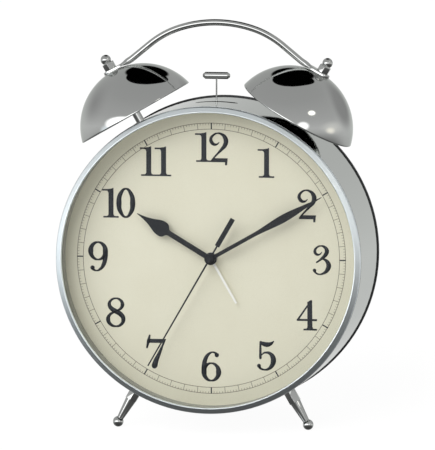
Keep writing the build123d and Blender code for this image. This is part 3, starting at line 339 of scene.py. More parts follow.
# %% [markdown]
# The dial's numerals are an old-style roman face. A font would need a file, so each digit
# is drawn with a pen instead: a curve whose radius is the pressure of the pen, laid flat
# by a quarter turn of tilt. Straight-sided parts are filled outlines and the round ends
# are discs. Heights run from 0 to 1, and widths are in the same unit.
# %% Pen strokes for the digits
BOWL = [(-0.246, 0, 0.165), (-0.17, 0.21, 0.11), (0, 0.29, 0.05), (0.17, 0.21, 0.11),
        (0.246, 0, 0.165), (0.17, -0.21, 0.1), (0, -0.29, 0.05), (-0.17, -0.21, 0.1)]
digits = {
    "0": {"rings": [[(-0.232, 0.5, 0.165), (-0.17, 0.815, 0.12), (0, 0.972, 0.055), (0.17, 0.815, 0.12),
                     (0.232, 0.5, 0.165), (0.17, 0.185, 0.12), (0, 0.028, 0.055), (-0.17, 0.185, 0.12)]]},
    "1": {"plates": [[(-0.3, 0.9), (-0.3, 0.955), (-0.13, 0.955), (0, 0.97), (0.085, 1), (0.085, 0.12),
                      (0.105, 0.07), (0.145, 0.055), (0.26, 0.055), (0.26, 0), (-0.26, 0), (-0.26, 0.055),
                      (-0.145, 0.055), (-0.105, 0.07), (-0.085, 0.12), (-0.085, 0.82), (-0.1, 0.87),
                      (-0.135, 0.9)]]},
    "2": {"strokes": [[(0.02, 0.67, 0.02), (-0.05, 0.605, 0.05), (-0.145, 0.588, 0.085), (-0.23, 0.648, 0.11),
                       (-0.267, 0.758, 0.1), (-0.206, 0.879, 0.07), (-0.05, 0.965, 0.045),
                       (0.109, 0.927, 0.08), (0.206, 0.83, 0.125), (0.242, 0.71, 0.145),
                       (0.206, 0.564, 0.13), (0.097, 0.43, 0.09), (-0.048, 0.273, 0.055),
                       (-0.17, 0.14, 0.05), (-0.254, 0.03, 0.045)]],
          "plates": [[(-0.285, 0), (-0.17, 0.133), (0.303, 0.133), (0.279, -0.103), (0.212, -0.103),
                      (0.206, 0)]]},
    "3": {"strokes": [[(0.01, 0.775, 0.02), (-0.074, 0.69, 0.05), (-0.17, 0.69, 0.08), (-0.234, 0.777, 0.09),
                       (-0.17, 0.915, 0.06), (-0.02, 0.974, 0.045), (0.106, 0.926, 0.09), (0.17, 0.81, 0.13),
                       (0.128, 0.68, 0.12), (0.02, 0.574, 0.08), (-0.106, 0.468, 0.055),
                       (-0.17, 0.426, 0.05)],
                      [(0, 0.545, 0.04), (0.085, 0.525, 0.07), (0.19, 0.436, 0.12), (0.234, 0.32, 0.15),
                       (0.19, 0.18, 0.13), (0.085, 0.074, 0.08), (-0.064, 0.025, 0.045),
                       (-0.19, 0.064, 0.055), (-0.255, 0.149, 0.08)]],
          "dots": [(-0.245, 0.155, 0.06), (-0.17, 0.426, 0.028)]},
    "4": {"plates": [[(0.01, 0.95), (0.13, 1.02), (0.175, 1.01), (0.185, 0.12), (0.21, 0.065), (0.34, 0.055),
                      (0.34, 0), (-0.12, 0), (-0.12, 0.055), (-0.01, 0.065), (0.015, 0.12)],
                     [(-0.345, 0.315), (-0.345, 0.385), (0.34, 0.385), (0.34, 0.315)],
                     [(-0.345, 0.36), (0.1, 0.985), (0.15, 0.97), (-0.265, 0.36)]]},
    "5": {"strokes": [[(-0.205, 0.97, 0.06), (-0.205, 0.7, 0.07), (-0.205, 0.41, 0.08)],
                      [(-0.19, 0.49, 0.03), (-0.098, 0.577, 0.05), (0, 0.6, 0.065), (0.117, 0.567, 0.1),
                       (0.212, 0.45, 0.15), (0.23, 0.303, 0.166), (0.176, 0.157, 0.13), (0.059, 0.05, 0.08),
                       (-0.07, 0.025, 0.05), (-0.196, 0.065, 0.07), (-0.262, 0.147, 0.09)],
                      [(-0.215, 0.975, 0.03), (-0.12, 0.9, 0.13), (0.02, 0.865, 0.15), (0.15, 0.9, 0.1),
                       (0.25, 0.985, 0.03)]],
          "dots": [(-0.254, 0.155, 0.066), (-0.205, 0.41, 0.04)]},
    "7": {"strokes": [[(0.29, 0.95, 0.05), (0.21, 0.768, 0.065), (0.1, 0.503, 0.105), (0, 0.282, 0.15),
                       (-0.058, 0.09, 0.18)],
                      [(-0.22, 1.11, 0.055), (-0.26, 0.93, 0.1), (-0.31, 0.7, 0.055)]],
          "plates": [[(-0.29, 0.86), (-0.27, 0.995), (0.34, 0.995), (0.28, 0.86)]],
          "dots": [(-0.06, 0.09, 0.09), (-0.22, 1.11, 0.027), (-0.31, 0.7, 0.027)]},
    "8": {"rings": [[(0.005, 0.968, 0.05), (-0.165, 0.9, 0.075), (-0.222, 0.763, 0.105), (-0.15, 0.63, 0.135),
                     (0, 0.535, 0.145), (0.17, 0.43, 0.145), (0.252, 0.29, 0.13), (0.18, 0.1, 0.09),
                     (0, 0.035, 0.055), (-0.18, 0.1, 0.1), (-0.262, 0.27, 0.13), (-0.2, 0.42, 0.085),
                     (0, 0.535, 0.05), (0.17, 0.64, 0.085), (0.222, 0.763, 0.12), (0.165, 0.9, 0.085)]]},
    "9": {"rings": [[(x, y + 0.69, w) for x, y, w in BOWL]],
          "strokes": [[(0.246, 0.7, 0.16), (0.245, 0.5, 0.15), (0.18, 0.22, 0.12), (0.06, 0.07, 0.075),
                       (-0.05, 0.03, 0.045), (-0.14, 0.06, 0.07), (-0.19, 0.12, 0.11)]],
          "dots": [(-0.185, 0.125, 0.075)]}}
print("drawn", len(digits), "digits; the 6 is the 9 turned over")

# %% [markdown]
# A stroke becomes a flat ribbon: the curve's Extrude gives it width, the radius of each
# point scales that width, and the tilt lays it down. Filled outlines start from a plane
# drawn as one face. Every face is turned to the front, and the whole print then gets the
# thickness of a laid film of ink, down to the dial.
# %% Turn strokes into flat print
INK_HEIGHT = 0.03 * MM
NUMERAL_HEIGHT = 14.8 * MM
PEN = 1.1


def pen(strokes, closed):
    line = bpy.data.curves.new("pen", "CURVE")
    line.dimensions = "3D"
    line.twist_mode = "Z_UP"
    line.extrude = 0.5
    line.resolution_u = 10
    for stroke in strokes:
        spline = line.splines.new("BEZIER")
        spline.bezier_points.add(len(stroke) - 1)
        spline.use_cyclic_u = closed
        for point, (x, y, width) in zip(spline.bezier_points, stroke):
            point.co = (x, y, 0)
            point.radius = width * PEN
            point.tilt = math.pi / 2
            point.handle_left_type = point.handle_right_type = "AUTO"
    return line


def draw_digit(digit):
    """One digit as a flat mesh, one unit high, standing on y = 0."""
    parts = digits["9" if digit == "6" else digit]
    made = []
    for key, closed in (("strokes", False), ("rings", True)):
        if key in parts:
            ribbon = bpy.data.objects.new("digit", pen(parts[key], closed))
            scene.collection.objects.link(ribbon)
            made.append(ribbon)
    for outline in parts.get("plates", ()):
        flat = bpy.data.meshes.new("plate")
        flat.from_pydata([(x, y, 0) for x, y in outline], [], [list(range(len(outline)))])
        plate = bpy.data.objects.new("digit", flat)
        scene.collection.objects.link(plate)
        made.append(plate)
    for x, y, radius in parts.get("dots", ()):
        clear()
        bpy.ops.mesh.primitive_circle_add(vertices=24, radius=radius, fill_type="NGON", location=(x, y, 0))
        made.append(bpy.context.object)
    clear()
    for part in made:
        part.select_set(True)
        bpy.context.view_layer.objects.active = part
    bpy.ops.object.convert(target="MESH")
    bpy.ops.object.join()
    bpy.ops.object.transform_apply(location=True, rotation=True, scale=True)
    if digit == "6":
        bpy.context.object.data.transform(Matrix.Translation((0, 1, 0)) @ Matrix.Rotation(math.pi, 4, "Z"))
    return bpy.context.object


def place_digit(digit, x, z):
    """Draws a digit on the dial with its middle at x, z of the clock."""
    shape = draw_digit(digit)
    size = Matrix.Scale(NUMERAL_HEIGHT, 4)
    stand = Matrix.Rotation(math.pi / 2, 4, "X")
    middle = Matrix.Translation((0, -0.5, 0))
    shape.data.transform(Matrix.Translation((x, dial_face - INK_HEIGHT, z)) @ stand @ size @ middle)
    return shape


def lay_print(name, parts):
    """Joins flat parts, turns their faces to the front and gives them the ink's thickness."""
    clear()
    for part in parts:
        part.select_set(True)
    bpy.context.view_layer.objects.active = parts[0]
    bpy.ops.object.transform_apply(location=True, rotation=True, scale=True)
    bpy.ops.object.join()
    sheet = bpy.context.object
    sheet.name = name
    choose(sheet, "FACE", lambda middle, normal: normal.y > 0)
    bpy.ops.mesh.flip_normals()
    bpy.ops.object.mode_set(mode="OBJECT")
    film = sheet.modifiers.new("film", "SOLIDIFY")
    film.thickness = INK_HEIGHT
    bpy.ops.object.modifier_apply(modifier=film.name)
    return sheet


dial_face = reach("dial")[0].y
print("dial face", round(dial_face / MM, 2), "mm behind the bezel front")

# %% [markdown]
# Twelve numerals stand upright on one circle. Pairs sit close together, as on the dial,
# where the foot of the 1 runs into the 2. They are one print, so they become one piece.
# %% Set the numerals round the dial
NUMERAL_CIRCLE = 55 * MM
PAIR_STEP = 0.5
nudges = {6: 1.6 * MM, 9: -1.5 * MM, 10: 1.5 * MM}
shapes = []
for hour in range(1, 13):
    angle = math.radians(30 * hour)
    circle = NUMERAL_CIRCLE - nudges.get(hour, 0)
    x, z = circle * math.sin(angle), circle * math.cos(angle)
    text = str(hour)
    for index, digit in enumerate(text):
        shift = (index - (len(text) - 1) / 2) * PAIR_STEP * NUMERAL_HEIGHT
        shapes.append(place_digit(digit, x + shift, z))
settle(lay_print("dial_numerals", shapes), "root", "dial_print", ink)

# %% [markdown]
# The minute track is two hairline circles with a tick for every minute, a bold tick for
# every hour and a comb of short marks along the outer line. A ring is a circle extruded
# inwards; a tick is one thin plane, copied round the axis by Spin with duplicates.
# %% Print the minute track
TRACK_OUTER = 67.0 * MM
TRACK_INNER = 64.0 * MM
HAIRLINE = 0.28 * MM


def ring_line(radius, width):
    clear()
    bpy.ops.mesh.primitive_circle_add(
        vertices=180, radius=radius, location=(0, dial_face - INK_HEIGHT, 0), rotation=(math.pi / 2, 0, 0))
    bpy.ops.object.transform_apply(location=True, rotation=True, scale=True)
    bpy.ops.object.mode_set(mode="EDIT")
    bpy.ops.mesh.select_all(action="SELECT")
    bpy.ops.mesh.extrude_edges_move()
    inner = (radius - width) / radius
    bpy.ops.transform.resize(value=(inner, 1, inner), center_override=(0, 0, 0))
    bpy.ops.object.mode_set(mode="OBJECT")
    return bpy.context.object


def tick_marks(count, inner, outer, width):
    clear()
    bpy.ops.mesh.primitive_plane_add(
        size=1, location=(0, dial_face - INK_HEIGHT, (inner + outer) / 2), rotation=(math.pi / 2, 0, 0))
    mark = bpy.context.object
    mark.scale = (width, outer - inner, 1)
    bpy.ops.object.transform_apply(location=True, rotation=True, scale=True)
    bpy.ops.object.mode_set(mode="EDIT")
    bpy.ops.mesh.select_all(action="SELECT")
    bpy.ops.mesh.spin(steps=count, angle=2 * math.pi, dupli=True, center=(0, 0, 0), axis=(0, 1, 0))
    bpy.ops.mesh.select_all(action="SELECT")
    bpy.ops.mesh.remove_doubles(threshold=0.02 * MM)
    bpy.ops.object.mode_set(mode="OBJECT")
    return mark


track = [ring_line(TRACK_OUTER, HAIRLINE), ring_line(TRACK_INNER, HAIRLINE),
         tick_marks(60, TRACK_INNER, TRACK_OUTER, 0.25 * MM),
         tick_marks(300, TRACK_OUTER - 1.1 * MM, TRACK_OUTER, 0.2 * MM)]
settle(lay_print("dial_minute_track", track), "root", "dial_print", pale_ink)

hour_marks = tick_marks(12, TRACK_INNER - 0.1 * MM, TRACK_OUTER, 0.6 * MM)
hour_marks.location.y = -INK_HEIGHT / 2
settle(lay_print("dial_hour_marks", [hour_marks]), "root", "dial_print", ink)

# %% [markdown]
# Each bell is a dome of 1 mm steel, pressed from sheet: a sphere cut well above its middle,
# with a small flat on top where the handle is bolted. A lathe profile would do as well,
# but a fine sphere keeps mirror reflections even all over, so it is cut by two planes,
# pierced for the post, thickened inwards, and its sharp rim rounded as buffing leaves it.
# %% Bells
BELL_RADIUS = 31.2 * MM
BELL_WALL = 1.0 * MM
BELL_REACH = 73 * MM
BELL_DEPTH = 28.8 * MM
BELL_CUT = 7.65 * MM
BELL_FLAT = 31.0 * MM
FLAT_RING = 1.3 * MM
SPOKE = {"left": -30, "right": 30}


def on_spoke(piece, angle, depth, reach_out=0.0):
    """Stands a piece, drawn upright, on a spoke of the drum: angles run from 12 o'clock."""
    turn = Matrix.Rotation(math.radians(angle), 4, "Y")
    piece.matrix_world = Matrix.Translation((0, depth, 0)) @ turn @ Matrix.Translation((0, 0, reach_out))


def apply_all(piece):
    """Applies the modifiers in their order, and smooths all but the real corners."""
    clear()
    piece.select_set(True)
    bpy.context.view_layer.objects.active = piece
    for modifier in list(piece.modifiers):
        bpy.ops.object.modifier_apply(modifier=modifier.name)
    bpy.ops.object.shade_smooth_by_angle(angle=math.radians(32))


def round_edges(piece, width, segments=3):
    soften = piece.modifiers.new("round", "BEVEL")
    soften.width = width
    soften.segments = segments
    soften.limit_method = "ANGLE"
    soften.angle_limit = math.radians(32)
    soften.harden_normals = True


for hand, angle in SPOKE.items():
    clear()
    bpy.ops.mesh.primitive_uv_sphere_add(segments=192, ring_count=128, radius=BELL_RADIUS)
    bell = bpy.context.object
    bell.name = "bell_dome_" + hand
    bpy.ops.object.mode_set(mode="EDIT")
    bpy.ops.mesh.select_all(action="SELECT")
    bpy.ops.mesh.bisect(plane_co=(0, 0, BELL_CUT), plane_no=(0, 0, 1), clear_inner=True)
    bpy.ops.mesh.select_all(action="SELECT")
    bpy.ops.mesh.bisect(plane_co=(0, 0, BELL_FLAT), plane_no=(0, 0, 1), clear_outer=True, use_fill=True)
    choose(bell, "FACE", lambda middle, normal: middle.z > BELL_FLAT - 0.01 * MM)
    bpy.ops.mesh.inset(thickness=FLAT_RING)
    bpy.ops.mesh.delete(type="FACE")
    bpy.ops.object.mode_set(mode="OBJECT")
    wall = bell.modifiers.new("wall", "SOLIDIFY")
    wall.thickness = BELL_WALL
    wall.offset = -1
    wall.use_even_offset = True
    round_edges(bell, 0.3 * MM)
    apply_all(bell)
    on_spoke(bell, angle, BELL_DEPTH, BELL_REACH)
    settle(bell, "root", "chrome", chrome, "bell_" + hand)

# %% [markdown]
# Nuts and legs are turned from hexagon bar, so they share their makings: a hexagon with
# broken edges, a cone and a ball, fused into one skin. On the clock a corner of each
# hexagon faces the front, which shows one dark and one lighter flat.
# %% Bar-turned shapes
def hexagon(across, low, high):
    clear()
    bpy.ops.mesh.primitive_cylinder_add(
        vertices=6, radius=across / math.sqrt(3), depth=high - low, location=(0, 0, (low + high) / 2))
    bar = bpy.context.object
    round_edges(bar, 0.16 * MM, 2)
    apply_all(bar)
    return bar


def cone(low_radius, high_radius, low, high, edge=0.0):
    clear()
    bpy.ops.mesh.primitive_cone_add(
        vertices=64, radius1=low_radius, radius2=high_radius, depth=high - low,
        location=(0, 0, (low + high) / 2))
    taper = bpy.context.object
    if edge:
        round_edges(taper, edge, 3)
    apply_all(taper)
    return taper


def ball(radius, middle):
    clear()
    bpy.ops.mesh.primitive_uv_sphere_add(segments=64, ring_count=40, radius=radius, location=(0, 0, middle))
    bpy.ops.object.shade_smooth()
    return bpy.context.object


def fuse(name, base, *others):
    """Joins closed shapes into one skin with no walls left inside."""
    for other in others:
        weld = base.modifiers.new("weld", "BOOLEAN")
        weld.operation = "UNION"
        weld.solver = "EXACT"
        weld.object = other
    apply_all(base)
    for other in others:
        bpy.data.objects.remove(other)
    base.name = name
    bpy.ops.object.transform_apply(location=True, rotation=True, scale=True)
    return base


print("shapes: hexagon, cone, ball, fuse")

# %% [markdown]
# A small black button is pressed on the end of the seconds arbor and hides it. It is a
# turned stub: a cylinder whose front is inset and pulled out to a low step, with all its
# edges rounded.
# %% Button on the second hand
hand_front = reach("second_hand")[0].y
clear()
bpy.ops.mesh.primitive_cylinder_add(
    vertices=48, radius=1.5 * MM, depth=0.5 * MM, location=(0, hand_front - 0.2 * MM, 0),
    rotation=(math.pi / 2, 0, 0))
button = bpy.context.object
button.name = "second_hand_button"
bpy.ops.object.transform_apply(location=True, rotation=True, scale=True)
choose(button, "FACE", lambda middle, normal: normal.y < -0.9)
bpy.ops.mesh.inset(thickness=0.5 * MM)
bpy.ops.mesh.extrude_region_move(TRANSFORM_OT_translate={"value": (0, -0.35 * MM, 0)})
bpy.ops.object.mode_set(mode="OBJECT")
round_edges(button, 0.14 * MM)
apply_all(button)
settle(button, "second", "hand_black", black_enamel)

# %% [markdown]
# The acorn nuts clamp the handle on the bells. One is made for each side at its real reach from the middle of
# the dial, and the two are joined, because the solid that they stand for is a pair.
# %% Acorn nuts
NUT_LOW, NUT_HIGH = 105.4 * MM, 108.8 * MM
ACORN_MIDDLE = 110.6 * MM
nuts = []
for hand, angle in SPOKE.items():
    nut = fuse("acorn_nuts", hexagon(5.5 * MM, NUT_LOW, NUT_HIGH),
               cone(2.35 * MM, 1.9 * MM, NUT_HIGH - 0.2 * MM, NUT_HIGH + 0.6 * MM),
               ball(2.57 * MM, ACORN_MIDDLE))
    on_spoke(nut, angle, BELL_DEPTH)
    nuts.append(nut)
clear()
for nut in nuts:
    nut.select_set(True)
bpy.context.view_layer.objects.active = nuts[0]
bpy.ops.object.join()
settle(nuts[0], "root", "chrome", chrome, "bell_nuts")

# %% [markdown]
# The handle is one steel rod, bent cold over formers, with its ends forged to flat plates
# that the acorn nuts clamp. A curve with a bevel would give the rod but not the ends, so it
# is made as the smith makes it: a circle is spun round the centre of each bend, drawn out
# along the straights, and squeezed where the hammer spread it. Half of it is drawn upright
# on the right bell's spoke, where the plate lies level, and a mirror gives the rest.
# %% Bent rod of the handle
ROD = 1.6 * MM
TAB_MIDDLE = 104.7 * MM
TAB_HIGH, TAB_WIDE = 1.4 * MM, 6.5 * MM
ROD_START, TAB_START, TAB_END = -10.0 * MM, -4.65 * MM, 1.15 * MM
LOW_BEND, RUN, SHOULDER, CROWN = 15 * MM, 11.2 * MM, 45 * MM, 59.577 * MM
LOW_TURN, SHOULDER_TURN, CROWN_TURN = 9.5, 22, 17.5
TAPER_STEPS = 12
TAPER_START, TAPER_END = Vector((ROD, ROD)), Vector((2.9 * MM, 0.62 * MM))


def bend(point, heading, radius, degrees, steps):
    """Spins the selected ring on from a point, up for a positive radius, and gives the next point."""
    way = math.radians(heading)
    middle = point + radius * Vector((math.sin(way), math.cos(way)))
    turned = math.radians(degrees if radius > 0 else -degrees)
    bpy.ops.mesh.spin(steps=steps, angle=-turned, center=(middle.x, 0, middle.y), axis=(0, 1, 0))
    way += turned
    return middle - radius * Vector((math.sin(way), math.cos(way)))


clear()
bpy.ops.mesh.primitive_circle_add(
    vertices=48, radius=ROD, location=(ROD_START, 0, TAB_MIDDLE), rotation=(0, math.pi / 2, 0))
rod = bpy.context.object
bpy.ops.object.transform_apply(location=True, rotation=True, scale=True)
choose(rod, "EDGE", lambda a, b: True)
point = bend(Vector((ROD_START, TAB_MIDDLE)), 0, LOW_BEND, LOW_TURN, 8)
slope = math.radians(LOW_TURN)
run = RUN * Vector((-math.cos(slope), math.sin(slope)))
bpy.ops.mesh.extrude_edges_move(TRANSFORM_OT_translate={"value": (run.x, 0, run.y)})
point = bend(point + run, LOW_TURN, -SHOULDER, SHOULDER_TURN, 20)
bend(point, LOW_TURN - SHOULDER_TURN, -CROWN, CROWN_TURN, 20)

choose(rod, "EDGE", lambda a, b: min(a.x, b.x) > ROD_START - 0.01 * MM)
size, stride = TAPER_START, (TAB_START - ROD_START) / TAPER_STEPS
for step in range(1, TAPER_STEPS + 1):
    part = step / TAPER_STEPS
    new = TAPER_START.lerp(TAPER_END, part * part * (3 - 2 * part))
    bpy.ops.mesh.extrude_edges_move(TRANSFORM_OT_translate={"value": (stride, 0, 0)})
    bpy.ops.transform.resize(value=(1, new.x / size.x, new.y / size.y), center_override=(0, 0, TAB_MIDDLE))
    size = new
bpy.ops.mesh.edge_face_add()
bpy.ops.object.mode_set(mode="OBJECT")
print("half of the rod has", len(rod.data.polygons), "faces")

# %% [markdown]
# The flat end is a round-ended plate. Forging leaves its sides a little slanted, which is
# why they catch the light, so the top of a cylinder is drawn in, one half of it is moved
# along to lengthen it, and its edges are rounded.
# %% Flat ends of the handle
clear()
bpy.ops.mesh.primitive_cylinder_add(
    vertices=64, radius=TAB_WIDE / 2, depth=TAB_HIGH, location=(TAB_END, 0, TAB_MIDDLE))
tab = bpy.context.object
bpy.ops.object.transform_apply(location=True, rotation=True, scale=True)
choose(tab, "VERT", lambda place: place.x < TAB_END - 0.01 * MM)
bpy.ops.transform.translate(value=(TAB_START - TAB_END, 0, 0))
choose(tab, "FACE", lambda middle, normal: normal.z > 0.9)
bpy.ops.transform.resize(value=(0.96, 0.924, 1), center_override=((TAB_START + TAB_END) / 2, 0, 0))
bpy.ops.object.mode_set(mode="OBJECT")
round_edges(tab, 0.15 * MM)
apply_all(tab)
for half in (rod, tab):
    on_spoke(half, SPOKE["right"], BELL_DEPTH)
    clear()
    half.select_set(True)
    bpy.context.view_layer.objects.active = half
    bpy.ops.object.transform_apply(location=True, rotation=True, scale=True)
    both = half.modifiers.new("both", "MIRROR")
    both.merge_threshold = 0.02 * MM
    bpy.ops.object.modifier_apply(modifier=both.name)
    bpy.ops.object.mode_set(mode="EDIT")
    bpy.ops.mesh.select_all(action="SELECT")
    bpy.ops.mesh.normals_make_consistent(inside=False)
    bpy.ops.object.mode_set(mode="OBJECT")
settle(fuse("handle_rod", rod, tab), "root", "chrome", chrome, "handle")

# %% [markdown]
# A leg screws into the drum with a short stud. Below the hexagon it has a shoulder and
# tapers to a neck, and it ends in a ball that stands on the table.
# %% Legs
LEG_DEPTH = 18.1 * MM
for hand, angle in (("left", -150), ("right", 150)):
    leg = fuse("turned_leg_" + hand, hexagon(5.5 * MM, 75.9 * MM, 82.1 * MM),
               cone(1.5 * MM, 1.5 * MM, 70.5 * MM, 76.2 * MM),
               cone(2.66 * MM, 1.55 * MM, 82.0 * MM, 93.4 * MM, 0.1 * MM),
               ball(2.63 * MM, 94.8 * MM))
    on_spoke(leg, angle, LEG_DEPTH)
    settle(leg, "root", "chrome", chrome, "leg_" + hand)

# %% [markdown]
# The back cover is a plain black moulding, and such mouldings carry low relief: a ring
# round each setting knob, an arrow for its turning direction, end marks for the alarm
# slider and grip bars on the battery door. Engraving would cut the solid, so the relief
# stands 0.4 mm proud. An arc is a small plane swept by Spin.
# %% Relief on the back
PLATE = 55.7 * MM
RELIEF = 0.4 * MM
SUNK = 0.1 * MM
RELIEF_MIDDLE = PLATE + (RELIEF - SUNK) / 2
KNOB_PLACES = (12.0 * MM, -13.5 * MM)
ARROW_RADIUS, ARROW_START, ARROW_SWEEP = 10.6 * MM, 215, 110
SLIDER_HEIGHT = 32.0 * MM


def raised_bar(x, z, width, height):
    clear()
    bpy.ops.mesh.primitive_cube_add(size=1)
    bar = bpy.context.object
    bar.dimensions = (width, RELIEF + SUNK, height)
    bpy.ops.object.transform_apply(location=False, rotation=False, scale=True)
    round_edges(bar, 0.15 * MM, 2)
    apply_all(bar)
    bar.location = (x, RELIEF_MIDDLE, z)
    return bar


def raised_arc(x, z, radius, width, start, sweep):
    """An arc about x, z: start and sweep are in degrees, clockwise from the right."""
    clear()
    bpy.ops.mesh.primitive_plane_add(size=1, location=(radius, 0, 0))
    arc = bpy.context.object
    arc.dimensions = (width, RELIEF + SUNK, 0)
    bpy.ops.object.transform_apply(location=True, rotation=False, scale=True)
    bpy.ops.object.mode_set(mode="EDIT")
    bpy.ops.mesh.select_all(action="SELECT")
    steps = max(12, int(sweep / 5))
    bpy.ops.mesh.spin(steps=steps, angle=-math.radians(sweep), center=(0, 0, 0), axis=(0, 1, 0))
    bpy.ops.mesh.select_all(action="SELECT")
    bpy.ops.mesh.remove_doubles(threshold=0.01 * MM)
    bpy.ops.mesh.normals_make_consistent(inside=False)
    bpy.ops.object.mode_set(mode="OBJECT")
    round_edges(arc, 0.12 * MM, 2)
    apply_all(arc)
    middle = Matrix.Translation((x, RELIEF_MIDDLE, z))
    arc.matrix_world = middle @ Matrix.Rotation(math.radians(start), 4, "Y")
    return arc


def arrow_tip(x, z, size, turn):
    clear()
    bpy.ops.mesh.primitive_cylinder_add(
        vertices=3, radius=size, depth=RELIEF + SUNK, rotation=(math.pi / 2, 0, 0))
    tip = bpy.context.object
    bpy.ops.object.transform_apply(location=False, rotation=True, scale=False)
    round_edges(tip, 0.12 * MM, 2)
    apply_all(tip)
    middle = Matrix.Translation((x, RELIEF_MIDDLE, z))
    tip.matrix_world = middle @ Matrix.Rotation(math.radians(turn), 4, "Y")
    return tip


def gather(name, parts):
    clear()
    for part in parts:
        part.select_set(True)
    bpy.context.view_layer.objects.active = parts[0]
    bpy.ops.object.transform_apply(location=True, rotation=True, scale=True)
    bpy.ops.object.join()
    parts[0].name = name
    return parts[0]


relief = []
tip_at = math.radians(ARROW_START + ARROW_SWEEP)
for x in KNOB_PLACES:
    relief.append(raised_arc(x, 0, 8.0 * MM, 0.8 * MM, 0, 360))
    relief.append(raised_arc(x, 0, ARROW_RADIUS, 0.7 * MM, ARROW_START, ARROW_SWEEP))
    relief.append(arrow_tip(
        x + ARROW_RADIUS * math.cos(tip_at), -ARROW_RADIUS * math.sin(tip_at), 1.5 * MM, 145))
for x, width in ((-9.0 * MM, 0.7 * MM), (9.0 * MM, 2.6 * MM)):
    relief.append(raised_bar(x, SLIDER_HEIGHT, width, 2.6 * MM))
relief.append(raised_arc(0, 0, 68.0 * MM, 0.9 * MM, 0, 360))
settle(gather("cover_relief", relief), "root", "black_plastic", black_abs)
print("relief parts", len(relief))

bars = [raised_bar(0, (-40 - 2.2 * row) * MM, (16 - row) * MM, 0.9 * MM) for row in range(5)]
bars.append(arrow_tip(0, -54.5 * MM, 2.4 * MM, 90))
settle(gather("door_grip", bars), "door", "black_plastic", black_abs)

# %% [markdown]
# The floor is a pale studio sheet. The camera sees it white, as it does the background,
# and a share of plain paint keeps the soft shadow under the feet. Chrome doesn't see the
# floor, because on the real clock's feet and lower bezel the plate shows the dark side of
# the studio.
# %% Floor
clear()
bpy.ops.mesh.primitive_plane_add(size=6)
floor = bpy.context.object
floor.name = "studio_floor"
floor.visible_glossy = False
sheet = bpy.data.materials.new("white_studio_sheet")
sheet.use_nodes = True
tree = sheet.node_tree
shader = tree.nodes["Principled BSDF"]
shader.inputs["Base Color"].default_value = linear("#F2F2F0")
shader.inputs["Roughness"].default_value = 0.9
PAINT_SHARE = 0.09
glow = add_node(tree, "ShaderNodeEmission", {"Strength": 1.05})
both = add_node(tree, "ShaderNodeMixShader", {0: PAINT_SHARE, 1: glow.outputs[0], 2: shader.outputs[0]})
tree.links.new(both.outputs[0], tree.nodes["Material Output"].inputs["Surface"])
floor.data.materials.append(sheet)
print("floor", floor.name)

# %% [markdown]
# The camera stands where the photograph was taken from: a little to the right of the dial
# and above it, far away, with a long lens. The 12-6 line is upright in the picture, so the
# camera's up is the clock's up.
# %% Camera
SEEN_WIDTH = 213.8 * MM
DISTANCE = 9.5
AIM_RIGHT, AIM_UP = 5.01 * MM, 17.64 * MM
toward = (right * 0.157 - rear * 0.982 + up * 0.100).normalized()
side = up.cross(toward).normalized()
above = toward.cross(side)
aim = origin + side * AIM_RIGHT + above * AIM_UP
lens = bpy.data.cameras.new("camera")
lens.sensor_fit = "HORIZONTAL"
lens.sensor_width = 36
lens.lens = 36 * DISTANCE / SEEN_WIDTH
camera = bpy.data.objects.new("camera", lens)
turn = Matrix((side, above, toward)).transposed().to_4x4()
camera.matrix_world = Matrix.Translation(aim + toward * DISTANCE) @ turn
scene.collection.objects.link(camera)
scene.camera = camera
print("camera at", [round(c, 3) for c in camera.location], "lens", round(lens.lens))

# %% [markdown]
# Chrome is only as good as what it mirrors. The studio is painted into the world by
# direction, for mirror rays alone: a pale sheet behind the clock and a grey room in front,
# both brightest at the height of the clock and dark below it. On that lie soft windows and
# one black opening overhead, drawn as three ovals. Light that has been mirrored from piece
# to piece three times comes from the white sheets, so it is plain white. What the camera
# itself sees is white too, and what lights the matt pieces is an even grey.
# %% Studio surround
world = bpy.data.worlds.new("studio")
scene.world = world
world.use_nodes = True
tree = world.node_tree
sky = tree.nodes["Background"]
ray = add_node(tree, "ShaderNodeLightPath").outputs
way = add_node(tree, "ShaderNodeTexCoord").outputs["Generated"]
from_camera = add_node(tree, "ShaderNodeMapping", {
    "Vector": way, "Rotation": turn.to_euler()}, vector_type="TEXTURE")
axis = add_node(tree, "ShaderNodeSeparateXYZ", {0: from_camera.outputs[0]}).outputs
height = add_node(tree, "ShaderNodeMapRange", {"Value": axis["Y"], "From Min": -1, "From Max": 1})


def grey_ramp(*stops):
    """A ramp from straight below to straight overhead; each stop is a height and a grey."""
    shades = [(place, (grey, grey * 1.01, grey, 1)) for place, grey in stops]
    return add_node(tree, "ShaderNodeValToRGB", {"Fac": height.outputs["Result"]}, shades).outputs["Color"]


room = grey_ramp((0, 0.07), (0.07, 0.09), (0.2, 0.11), (0.3, 0.15), (0.37, 0.36), (0.44, 0.66), (0.5, 0.76),
                 (0.56, 0.69), (0.64, 0.62), (0.72, 0.59), (0.8, 0.56), (0.87, 0.53), (1, 0.51))
sheet_behind = grey_ramp((0, 0.1), (0.3, 0.25), (0.4, 0.66), (0.5, 0.84), (0.6, 0.72), (0.7, 0.62),
                         (0.8, 0.58), (0.9, 0.53), (1, 0.51))
depth = add_node(tree, "ShaderNodeMapRange", {
    "Value": axis["Z"], "From Min": 0.1, "From Max": -0.7}, interpolation_type="SMOOTHSTEP")
studio = add_node(tree, "ShaderNodeMix", {
    "Factor": depth.outputs["Result"], "A": room, "B": sheet_behind}, data_type="RGBA").outputs["Result"]


def out_from_camera(across, rise):
    """The direction that lies at these degrees to the right of and above the camera's."""
    across, rise = math.radians(across), math.radians(rise)
    level = toward * math.cos(across) + side * math.sin(across)
    return level * math.cos(rise) + above * math.sin(rise)


